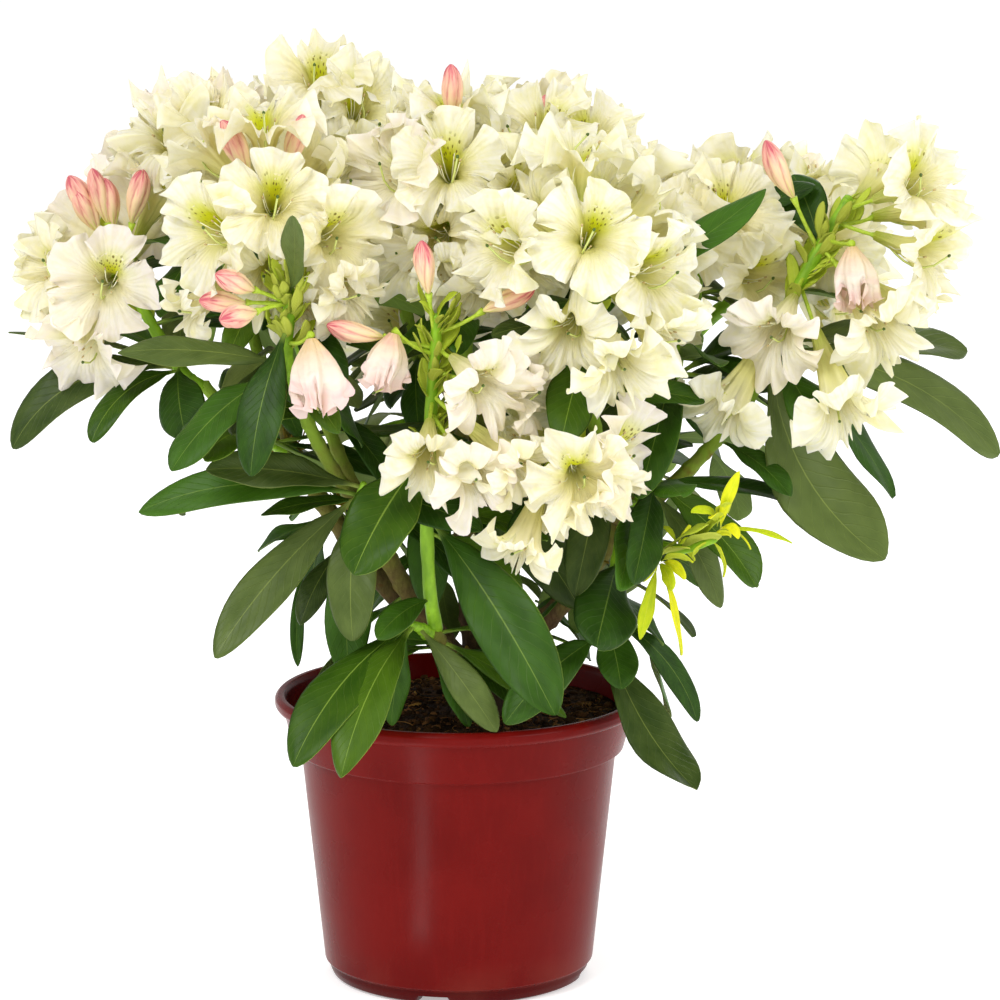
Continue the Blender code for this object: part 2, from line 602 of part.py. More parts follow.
class Room:
    """Keeps the space that each solid holds, so that no mass enters another's."""

    def __init__(self):
        self.solids = []

    def hold(self, owner, kind, verts, faces):
        tree = BVHTree.FromPolygons([tuple(v) for v in verts], [tuple(f) for f in faces])
        low = Vector([min(v[i] for v in verts) for i in range(3)])
        high = Vector([max(v[i] for v in verts) for i in range(3)])
        self.solids.append((owner, kind, low, high, tree))

    def free(self, owner, kind, verts, faces):
        """True if the solid touches nothing but pieces that it is fused to."""
        verts = enlarged(verts)
        tree = BVHTree.FromPolygons([tuple(v) for v in verts], [tuple(f) for f in faces])
        low = Vector([min(v[i] for v in verts) for i in range(3)])
        high = Vector([max(v[i] for v in verts) for i in range(3)])
        for other, other_kind, other_low, other_high, other_tree in self.solids:
            if other == owner and (other_kind == "stem" or FUSES[kind] == FUSES[other_kind]):
                continue
            if any(low[i] > other_high[i] or high[i] < other_low[i] for i in range(3)):
                continue
            if tree.overlap(other_tree):
                return False
        return True


def shoot_path(shoot, limbs):
    """The shoot's axis, a smooth path from inside its limb's tip through its way."""
    path, radii = limbs[shoot.limb][0], limbs[shoot.limb][1]
    way = [Vector(p) * MM for p in shoot.way]
    points = [start_inside(path, radii[-1], way[0])] + way
    if shoot.reach:
        points.append(way[-1] + (way[-1] - way[-2]).normalized() * RACHIS_TOP)
    return points


def shoot_radii(shoot, count):
    last = RACHIS_RADIUS if shoot.reach else SHOOT_END_RADIUS
    return [SHOOT_RADIUS + (last - SHOOT_RADIUS) * i / (count - 1) for i in range(count)]


def axis_point(points, share):
    """The point at a share of the way along a path of points."""
    place = share * (len(points) - 1)
    i = min(int(place), len(points) - 2)
    return points[i].lerp(points[i + 1], place - i)


def crown_outward(point):
    """Level direction away from the crown's middle."""
    out = Vector((point.x - TRUNK_FORK.x, point.y - TRUNK_FORK.y, 0))
    return out.normalized() if out.length > 1e-6 else Vector((0, -1, 0))


def offer(room, owner, kind, choices, pieces):
    """Takes the first of the choices that has room, and says whether there was one."""
    for solid in choices:
        if room.free(owner, kind, *solid):
            room.hold(owner, kind, *solid)
            pieces.append((kind, solid))
            return True
    return False


def stalk_point(shoot, drop):
    """A point down the truss's stalk from its centre, by a drop in mm."""
    centre, below = Vector(shoot.way[-1]) * MM, Vector(shoot.way[-2]) * MM
    return centre + (below - centre).normalized() * drop * MM


def flower_choices(base, aim, reach):
    """The same flower at full size and a little smaller."""
    return [flower(base, aim, reach * (0.5 + 0.5 * size), MOUTH_RADIUS * size) for size in BLOOM_SIZES]


def add_set_pieces(shoot, room, points, pieces):
    """The flowers, buds and leaves that lead the outline."""
    reach = shoot.reach * MM
    for azimuth, elevation, drop in shoot.faces:
        choices = flower_choices(stalk_point(shoot, drop), heading(azimuth, elevation), reach)
        offer(room, shoot.name, "bloom", choices, pieces)
    for drop, x, y, z, radius in shoot.bells:
        base = stalk_point(shoot, drop)
        way = Vector((x, y, z)) * MM - base
        choices = [
            flower(base, way.normalized(), way.length * (0.5 + 0.5 * size), radius * MM * size)
            for size in BLOOM_SIZES
        ]
        offer(room, shoot.name, "bloom", choices, pieces)
    for azimuth, elevation, drop in shoot.buds:
        closed = bud(stalk_point(shoot, drop), heading(azimuth, elevation), reach + BUD_EXTRA)
        offer(room, shoot.name, "bud", [closed], pieces)
    for share, x, y, z, width, bend, turn in shoot.blades:
        base, tip = axis_point(points, share), Vector((x, y, z)) * MM
        choices = [
            leaf(base, base.lerp(tip, size), width * MM * size, bend, turn, crown_outward(base))
            for size in LEAF_SIZES
        ]
        offer(room, shoot.name, "leaf", choices, pieces)


def add_grown_flowers(shoot, room, pieces):
    """Flowers by the golden angle over the truss, clear of the ones set by hand."""
    rng = random.Random(shoot.seed)
    centre = stalk_point(shoot, 0)
    axis = (centre - stalk_point(shoot, 1)).normalized()
    axis = (axis + Vector((0, 0, TRUSS_LIFT))).normalized()
    side, up = frame_along(axis)
    taken = [heading(a, e) for a, e, drop in shoot.faces]
    total = shoot.flowers + len(taken)
    phase = rng.uniform(0, math.tau)
    for i in range(3 * total):
        if len(taken) >= total:
            break
        lift = 1 + (shoot.spread - 1) * ((i * GOLDEN_SHARE) % 1.0)
        turn = phase + i * GOLDEN_ANGLE
        flat = math.sqrt(1 - lift * lift)
        aim = (axis * lift + (side * math.cos(turn) + up * math.sin(turn)) * flat).normalized()
        if any(aim.angle(other) < FLOWER_SPACING for other in taken):
            continue
        if offer(room, shoot.name, "bloom", flower_choices(centre, aim, shoot.reach * MM), pieces):
            taken.append(aim)


def add_grown_leaves(shoot, room, points, pieces):
    """Leaves in a whorl under the truss, by the golden angle, turned where they clash."""
    rng = random.Random(shoot.seed + 500)
    phase = rng.random()
    first, last = shoot.sector
    whorl = TRUSS_WHORL if shoot.reach else LEAF_WHORL
    for i in range(shoot.leaves):
        base = axis_point(points, rng.uniform(*whorl))
        length = rng.uniform(*LEAF_LENGTHS)
        azimuth = first + (last - first) * ((phase + i * GOLDEN_SHARE) % 1.0)
        elevation = rng.uniform(*shoot.droop)
        bend = rng.uniform(26, 52)
        turn = rng.uniform(-15, 35)
        choices = []
        for swing, dip, size in LEAF_TRIES:
            tip = base + heading(azimuth + swing, elevation + dip) * length * size
            width = length * size * LEAF_SLIMNESS
            choices.append(leaf(base, tip, width, bend, turn, crown_outward(base), GROWN_SECTIONS))
        offer(room, shoot.name, "leaf", choices, pieces)


def add_sprigs(shoot, room, points, pieces):
    """Narrow soft leaves of a late shoot: one tuft hangs, the one at its end spreads."""
    rng = random.Random(shoot.seed + 900)
    for i in range(shoot.sprigs):
        share, droop = ((0.94, (-28, 34)), (0.56, (-84, -30)))[i % 2]
        base = axis_point(points, share)
        way = heading(SPRIG_SWING * i + SPRIG_FIRST, rng.uniform(*droop))
        tip = base + way * rng.uniform(*SPRIG_LENGTHS)
        blade = leaf(base, tip, SPRIG_WIDTH, 40, 20, crown_outward(base), GROWN_SECTIONS)
        offer(room, shoot.name, "sprig", [blade], pieces)


def make_mass(shoot, stem, pieces, mats):
    """Fuses a shoot's stem, leaves and flowers by one union."""
    verts, faces = tube(*stem, STEM_SIDES)
    obj = new_object(shoot.name, verts, faces, mats["stem"])
    parts = bpy.data.collections.new("parts_" + shoot.name)
    bpy.context.scene.collection.children.link(parts)
    for i, (kind, solid) in enumerate(pieces):
        new_object(f"piece_{i}", *solid, mats[kind], parts)
    union = obj.modifiers.new("fused", "BOOLEAN")
    union.operation = "UNION"
    union.operand_type = "COLLECTION"
    union.collection = parts
    union.material_mode = "TRANSFER"
    bake_modifiers(obj)
    for part in list(parts.objects):
        bpy.data.objects.remove(part, do_unlink=True)
    bpy.data.collections.remove(parts)
    keep_main_shell(obj)
    return obj


def claim_limbs(room, limbs):
    """Pot, compost and limbs hold their space before any shoot grows."""
    for name in ("pot", "compost"):
        mesh = bpy.data.objects[name].data
        room.hold(name, "pot", [v.co for v in mesh.vertices], [p.vertices for p in mesh.polygons])
    for name, (path, radii, sides, obj) in limbs.items():
        room.hold(name, "limb", *tube(path, [r + GAP for r in radii], sides))


def grow_shoots(room, limbs):
    """Every shoot's stem and pieces: first what is set by hand, then flowers, then leaves."""
    stems, pieces = {}, {}
    for shoot in SHOOTS:
        points = shoot_path(shoot, limbs)
        stems[shoot.name] = (points, shoot_radii(shoot, len(points)))
        pieces[shoot.name] = []
        room.hold(shoot.name, "stem", *tube(*stems[shoot.name], STEM_SIDES))
    for shoot in SHOOTS:
        add_set_pieces(shoot, room, stems[shoot.name][0], pieces[shoot.name])
        add_sprigs(shoot, room, stems[shoot.name][0], pieces[shoot.name])
    for shoot in SHOOTS:
        add_grown_flowers(shoot, room, pieces[shoot.name])
    for shoot in SHOOTS:
        add_grown_leaves(shoot, room, stems[shoot.name][0], pieces[shoot.name])
    return stems, pieces


def make_masses(limbs, children):
    mats = {
        "stem": material("green_shoot", (0.20, 0.30, 0.04), 0.5),
        "bloom": material("cream_petals", (0.86, 0.83, 0.62), 0.55),
        "bud": material("pink_bud", (0.75, 0.25, 0.26), 0.5),
        "leaf": material("leathery_leaf", (0.045, 0.13, 0.022), 0.38),
        "sprig": material("young_leaf", (0.45, 0.50, 0.02), 0.45),
    }
    room = Room()
    claim_limbs(room, limbs)
    stems, pieces = grow_shoots(room, limbs)
    done = {}
    for shoot in SHOOTS:
        obj = make_mass(shoot, stems[shoot.name], pieces[shoot.name], mats)
        cutters = [grown(*limbs[name][:3]) for name in [shoot.limb] + children.get(shoot.limb, [])]
        cutters += [grown(*stems[sister], STEM_SIDES) for sister in done.get(shoot.limb, [])]
        cut(obj, cutters)
        done.setdefault(shoot.limb, []).append(shoot.name)


def main():
    clear_scene()
    make_pot()
    make_compost()
    limbs, children = make_limbs()
    make_masses(limbs, children)


main()
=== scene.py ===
import math
import random

import bpy
import numpy as np
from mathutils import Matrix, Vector
from mathutils.bvhtree import BVHTree


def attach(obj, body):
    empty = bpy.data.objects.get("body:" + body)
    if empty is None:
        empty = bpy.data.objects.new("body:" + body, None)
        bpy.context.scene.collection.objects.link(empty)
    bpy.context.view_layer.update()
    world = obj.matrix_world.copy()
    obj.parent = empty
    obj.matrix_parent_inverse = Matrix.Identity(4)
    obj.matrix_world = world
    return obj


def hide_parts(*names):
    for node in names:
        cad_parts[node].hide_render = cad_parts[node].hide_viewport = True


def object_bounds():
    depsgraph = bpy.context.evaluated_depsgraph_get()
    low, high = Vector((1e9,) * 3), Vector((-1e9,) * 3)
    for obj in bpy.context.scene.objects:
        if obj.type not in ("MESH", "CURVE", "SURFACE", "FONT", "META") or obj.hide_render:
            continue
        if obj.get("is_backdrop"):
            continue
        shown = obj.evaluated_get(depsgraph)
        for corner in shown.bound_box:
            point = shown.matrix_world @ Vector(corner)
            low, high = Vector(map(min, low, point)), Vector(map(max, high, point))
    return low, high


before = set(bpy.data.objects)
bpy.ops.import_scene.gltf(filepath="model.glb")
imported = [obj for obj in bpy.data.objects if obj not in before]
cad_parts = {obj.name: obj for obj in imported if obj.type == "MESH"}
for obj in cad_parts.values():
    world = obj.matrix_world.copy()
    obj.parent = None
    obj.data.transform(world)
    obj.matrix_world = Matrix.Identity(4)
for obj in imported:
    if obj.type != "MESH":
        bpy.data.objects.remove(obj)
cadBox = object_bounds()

# A potted rhododendron in full flower. Metres, +Z up, the front towards -Y.
# Limbs and shoots grow by the same rule as the solids. Each leaf, flower and bud that
# the rule finds room for is then drawn fine, and smaller leaves fill the crown.
mm = 0.001
tau = 2 * math.pi
goldenAngle = math.pi * (3 - math.sqrt(5))
goldenShare = (math.sqrt(5) - 1) / 2
scene = bpy.context.scene


def linear(hexCode):  # sRGB hex to a linear colour
    parts = np.array([int(hexCode[i:i + 2], 16) for i in (1, 3, 5)]) / 255
    flat = np.where(parts <= 0.04045, parts / 12.92, ((parts + 0.055) / 1.055) ** 2.4)
    return (*flat.tolist(), 1.0)


def newMaterial(name, roughness, specular, uvMap=None):
    # a material, its shader, the function that adds a node to it and, given a map, its two places
    mat = bpy.data.materials.new(name)
    mat.use_nodes = True
    tree = mat.node_tree
    shader = tree.nodes["Principled BSDF"]

    def add(kind, *values, out=0, stops=(), **settings):
        # one node, or one that is there already: its inputs in order, by name or as a dictionary, each
        # a socket, number, tuple or hex colour; names in small letters are the node's own settings
        if isinstance(kind, str) and kind.isupper():  # what a Math node does
            kind, settings["operation"] = "Math", kind
        node = tree.nodes.new("ShaderNode" + kind) if isinstance(kind, str) else kind
        inputs = dict(values[0] if values and isinstance(values[0], dict) else enumerate(values))
        for key, value in settings.items():
            if key[0].isupper():
                inputs[key] = value
            else:
                setattr(node, key, value)
        for key, value in inputs.items():
            if isinstance(value, bpy.types.NodeSocket):
                tree.links.new(value, node.inputs[key])
            else:
                node.inputs[key].default_value = linear(value) if isinstance(value, str) else value
        for k, (place, code) in enumerate(stops):
            elements = node.color_ramp.elements
            element = elements[k] if k < len(elements) else elements.new(1)
            element.position, element.color = place, linear(code)
        return node.outputs[out]

    add(shader, {"Roughness": roughness, "Specular IOR Level": specular})
    if uvMap:
        x = add("SeparateXYZ", add("UVMap", uv_map=uvMap))
        return mat, shader, add, x, x.node.outputs[1]
    return mat, shader, add


def stretched(add, *parts):  # a point whose coordinates are the given sockets times factors
    return add("CombineXYZ", {k: add("MULTIPLY", socket, factor)
                              for k, (socket, factor) in enumerate(parts)})


def layered(add, colour, *layers):  # colours laid over one another, each by its share
    for share, tone in layers:
        colour = add("Mix", {0: share, 6: colour, 7: tone}, out=2, data_type="RGBA")
    return colour


class Sheaf:
    # many small surfaces of one kind, gathered into one mesh

    def __init__(self):
        self.verts, self.faces, self.maps, self.count = [], [], [], 0

    def add(self, verts, faces, uv=None):
        # faces: several arrays, each (n, 3) or (n, 4); uv: a map for each of them
        verts = np.asarray(verts, float).reshape(-1, 3)
        self.faces += [part + self.count for part in faces]
        self.maps += uv or [np.zeros((*part.shape, 2)) for part in faces]
        self.verts.append(verts)
        self.count += len(verts)

    def build(self, name, mat, slot, replaced=(), mapName=None, sharp=None):
        sizes = np.concatenate([np.full(len(f), f.shape[1]) for f in self.faces]).astype(np.int32)
        loops = np.concatenate([f.ravel() for f in self.faces]).astype(np.int32)
        mesh = bpy.data.meshes.new(name)
        mesh.vertices.add(self.count)
        mesh.vertices.foreach_set("co", np.concatenate(self.verts).ravel().astype(np.float32))
        mesh.loops.add(len(loops))
        mesh.loops.foreach_set("vertex_index", loops)
        mesh.polygons.add(len(sizes))
        mesh.polygons.foreach_set("loop_start", (np.cumsum(sizes) - sizes).astype(np.int32))
        mesh.polygons.foreach_set("loop_total", sizes)
        uv = np.concatenate([m.reshape(-1, 2) for m in self.maps]).ravel().astype(np.float32)
        for label in (mapName, "OFBake") if mapName else ():
            mesh.uv_layers.new(name=label).data.foreach_set("uv", uv)
        mesh.update(calc_edges=True)
        mesh.validate()
        mesh.shade_smooth()
        if sharp:
            mesh.set_sharp_from_angle(angle=math.radians(sharp))
        mesh.materials.append(mat)
        piece = bpy.data.objects.new(name, mesh)
        scene.collection.objects.link(piece)
        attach(piece, "root")
        if replaced:
            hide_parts(*replaced)
        print(name, (sizes - 2).sum(), "triangles")


def gridFaces(rows, cols):
    # quads over rows by cols points that close in a ring, and the row and column of each
    # corner; corners where the last column meets the first count as column number cols
    i, j = np.meshgrid(np.arange(rows - 1), np.arange(cols), indexing="ij")
    i, j = i.ravel(), j.ravel()
    row = np.stack([i, i, i + 1, i + 1], 1)
    col = np.stack([j, j + 1, j + 1, j], 1)
    return row * cols + col % cols, row, col


def fanFaces(first, count, centre, flip=False):  # triangles from a ring to one centre point
    a = first + np.arange(count)
    b = first + (np.arange(count) + 1) % count
    return np.stack([b, a, a * 0 + centre] if flip else [a, b, a * 0 + centre], 1)


def addClosed(sheaf, verts, low, high, v, u=None, flip=False):
    # rings (rows, ring, 3) closed by the points low and high; v has rows places, u ring + 1
    rows, ring = verts.shape[:2]
    u = np.arange(ring + 1) / ring if u is None else u
    quads, row, col = gridFaces(rows, ring)
    faces = [quads, fanFaces(0, ring, rows * ring, True), fanFaces((rows - 1) * ring, ring, rows * ring + 1)]
    maps = [np.stack([u[col], v[row]], -1)]
    j = np.arange(ring)
    for end, order in ((v[0], [j + 1, j, j]), (v[-1], [j, j + 1, j])):
        maps.append(np.stack([u[np.stack(order, 1)], np.full((ring, 3), end)], -1))
    if flip:
        faces, maps = [f[:, ::-1] for f in faces], [m[:, ::-1] for m in maps]
    sheaf.add(np.concatenate([verts.reshape(-1, 3), [low], [high]]), faces, maps)


def ringTurns(count):  # angles of the points of a ring
    return tau * np.arange(count) / count


def unit(v):
    return v / np.maximum(np.linalg.norm(v, axis=-1, keepdims=True), 1e-12)


def tubeRings(paths, radii, sides):
    # ring k of a path: its point + radius (side cos turn + up sin turn), where side and up
    # stay square to the path; paths (m, n, 3), radii (m, n) or with one more axis for the ring
    ahead = unit(np.gradient(paths, axis=1))
    chord = unit(paths[:, -1] - paths[:, 0])
    least = np.eye(3)[np.abs(chord).argmin(-1)]
    side = unit(np.cross(ahead, least[:, None, :]))
    up = np.cross(side, ahead)
    turn = ringTurns(sides)
    out = side[:, :, None] * np.cos(turn)[:, None] + up[:, :, None] * np.sin(turn)[:, None]
    radii = radii[..., None] if radii.ndim == 2 else radii
    return paths[:, :, None] + out * radii[..., None]


def addMany(sheaf, rings, tips, flip, uv=None):
    # closed shapes of one kind, m at once: rings (m, n, sides, 3) and tips (m, 2, 3); their map
    # runs round in u and along in v, or is one place, or one for each
    m, n, sides = rings.shape[:3]
    verts = np.concatenate([rings.reshape(m, -1, 3), tips], 1)
    quads, row, col = gridFaces(n, sides)
    caps = np.concatenate([fanFaces(0, sides, n * sides, flip),
                           fanFaces((n - 1) * sides, sides, n * sides + 1, not flip)])
    quadMap, capMap = np.stack([col / sides, row / (n - 1)], -1), np.zeros((len(caps), 3, 2))
    capMap[sides:, :, 1] = 1
    if not flip:
        quads, quadMap = quads[:, ::-1], quadMap[:, ::-1]
    step = np.arange(m)[:, None, None] * (n * sides + 2)
    faces, maps = [], []
    for part, place in ((quads, quadMap), (caps, capMap)):
        corners = part.shape[1]
        faces.append((part + step).reshape(-1, corners))
        place = place if uv is None else np.asarray(uv)
        maps.append(np.broadcast_to(place, (m, len(part), corners, 2)).reshape(-1, corners, 2))
    sheaf.add(verts, faces, maps)


def addTubes(sheaf, paths, radii, sides, uv=None):
    paths = np.asarray(paths, float)
    radii = np.broadcast_to(radii, paths.shape[:2])
    addMany(sheaf, tubeRings(paths, radii, sides), paths[:, [0, -1]], False, uv)


def smoothNoise(x, y, seed, waves=7, finest=4.0):
    # smooth noise of two numbers, about -1 to 1: a sum of sines of seeded pitch and phase
    rng = np.random.default_rng(seed)
    total, weight = 0, 0
    for k in range(waves):
        grow = 1 + (finest - 1) * k / waves
        turn = rng.uniform(0, tau)
        amount = 1 / grow
        along = x * math.cos(turn) + y * math.sin(turn)
        total = total + amount * np.sin(grow * along + rng.uniform(0, tau))
        weight += amount
    return total / weight * 1.6


def softStep(x, low, high):  # 0 below low, 1 above high, smooth between
    t = np.clip((x - low) / (high - low), 0, 1)
    return t * t * (3 - 2 * t)


def smoothPath(points, count):
    # a curve through the points: cubic pieces whose slopes are those of the neighbours' chords
    points = np.array([tuple(p) for p in points], float)
    slopes = np.gradient(points, axis=0)
    place = np.linspace(0, len(points) - 1, count)
    i = np.minimum(place.astype(int), len(points) - 2)
    t = (place - i)[:, None]
    a, b, da, db = points[i], points[i + 1], slopes[i], slopes[i + 1]
    return ((2 * t ** 3 - 3 * t ** 2 + 1) * a + (t ** 3 - 2 * t ** 2 + t) * da
            + (3 * t ** 2 - 2 * t ** 3) * b + (t ** 3 - t ** 2) * db)


# the growing rule

potRule = dict(height=181 * mm, rim=115 * mm, lip=9 * mm, collarTop=110 * mm, collar=103.5 * mm,
               collarBottom=147 * mm, bodyTop=98.8 * mm, body=84.5 * mm, foot=81.5 * mm, footHeight=11 * mm,
               footInner=68 * mm, footRound=6 * mm, pad=34 * mm, channel=4 * mm, wall=1.9 * mm,
               notchWidth=20 * mm, notchHeight=5.9 * mm, notchTurn=-11.6, notches=4, soil=168 * mm)

growth = dict(gap=0.3 * mm, margin=0.012, trunkFoot=(15, 6, 0), trunkFork=(12, 2, 202), footRadius=21 * mm,
              trunkRadius=12.5 * mm, flareLength=11 * mm, trunkRings=(0, 5, 12, 22, 34), flareLobes=5,
              flareShare=0.13, limbSides=7, trunkSides=15, limbRings=6, elbowOut=0.12, elbowSag=0.05,
              startDepth=0.6, startOffset=0.45, stemSides=5, shootRadius=4.6 * mm, rachisRadius=2.8 * mm,
              rachisTop=12 * mm, shootEnd=1.8 * mm, trussWhorl=(0.34, 0.5), leafWhorl=(0.5, 0.95),
              petiole=3.4 * mm, leafLengths=(98 * mm, 142 * mm), leafThinnest=1.5 * mm, leafSlimness=0.31,
              leafRise=0.35, leafBends=(26, 52), leafTurns=(-15, 35),
              lead=((0.13, 0.0), (0.34, 0.86), (0.6, 1.0), (0.85, 0.66)),
              grown=((0.13, 0.0), (0.42, 0.97), (0.76, 0.82)), leafSizes=(1.0, 0.9, 0.8, 0.7),
              leafTries=((0, 0, 1), (16, 0, 1), (-16, -8, 1), (30, -14, 0.9), (-30, 8, 0.9),
                         (0, -26, 0.8), (8, 10, 0.7)),
              bloomSizes=(1.0, 0.9, 0.78), lobes=5, notch=0.8, tubeRadius=9.5 * mm, tubeShare=0.62,
              throatShare=0.74, budRadius=7.5 * mm, budExtra=8 * mm, mouth=32 * mm, trussLift=0.6,
              spacing=math.radians(43), sprigWidth=9 * mm, sprigLengths=(38 * mm, 60 * mm),
              sprigFirst=-60, sprigSwing=47)

# limbs: the limb each forks from, its tip in mm, its first and last radius in mm
limbTable = dict(
    limb_front=("trunk", (-15, -72, 236), 6.5, 5.4),
    limb_left=("trunk", (-58, -60, 312), 8.0, 6.0),
    limb_far_left=("trunk", (-104, -8, 338), 8.0, 6.0),
    limb_centre=("trunk", (0, 24, 330), 10.0, 7.0),
    limb_right=("trunk", (104, -34, 300), 9.0, 6.5),
    limb_back=("trunk", (44, 82, 300), 8.0, 6.2),
    limb_left_front=("limb_left", (-99, -106, 396), 5.6, 4.9),
    limb_left_inner=("limb_left", (-92, -52, 402), 5.4, 4.8),
    limb_left_tip=("limb_far_left", (-158, -6, 378), 5.4, 4.8),
    limb_left_back=("limb_far_left", (-134, 52, 418), 5.4, 4.8),
    limb_centre_front=("limb_centre", (6, -26, 418), 6.2, 5.0),
    limb_centre_back=("limb_centre", (-38, 92, 424), 6.2, 5.0),
    limb_centre_right=("limb_centre", (52, 34, 436), 6.2, 5.0),
    limb_right_front=("limb_right", (80, -84, 384), 5.6, 4.9),
    limb_right_out=("limb_right", (184, -34, 382), 6.2, 5.2),
    limb_right_up=("limb_right", (138, 8, 398), 5.6, 4.9),
    limb_back_right=("limb_back", (146, 92, 392), 5.8, 4.9),
    limb_back_low=("limb_back", (6, 132, 340), 5.8, 4.9),
)


def shoot(limb, seed, way, reach=0, flowers=0, leaves=0, spread=-0.3, droop=(-22, 14), sector=(-180, 180),
          faces=(), bells=(), buds=(), blades=(), sprigs=0, tint=0, green=0, more=(8, -0.3), fill=6):
    # faces, buds: (azimuth, elevation, mm down the stalk); bells: (mm down the stalk, mouth x, y, z
    # and radius); blades: (share along the shoot, tip x, y, z, width, bend, turn); in mm, degrees
    # tint: 0 cream, 1 ivory, 2 blushed petals; green: 0 deep, 1 mid, 2 olive leaves
    # more: how many further flowers it may bear, and how far down (1 along its axis, -1 against)
    # fill: how many finer leaves it may bear
    return locals()


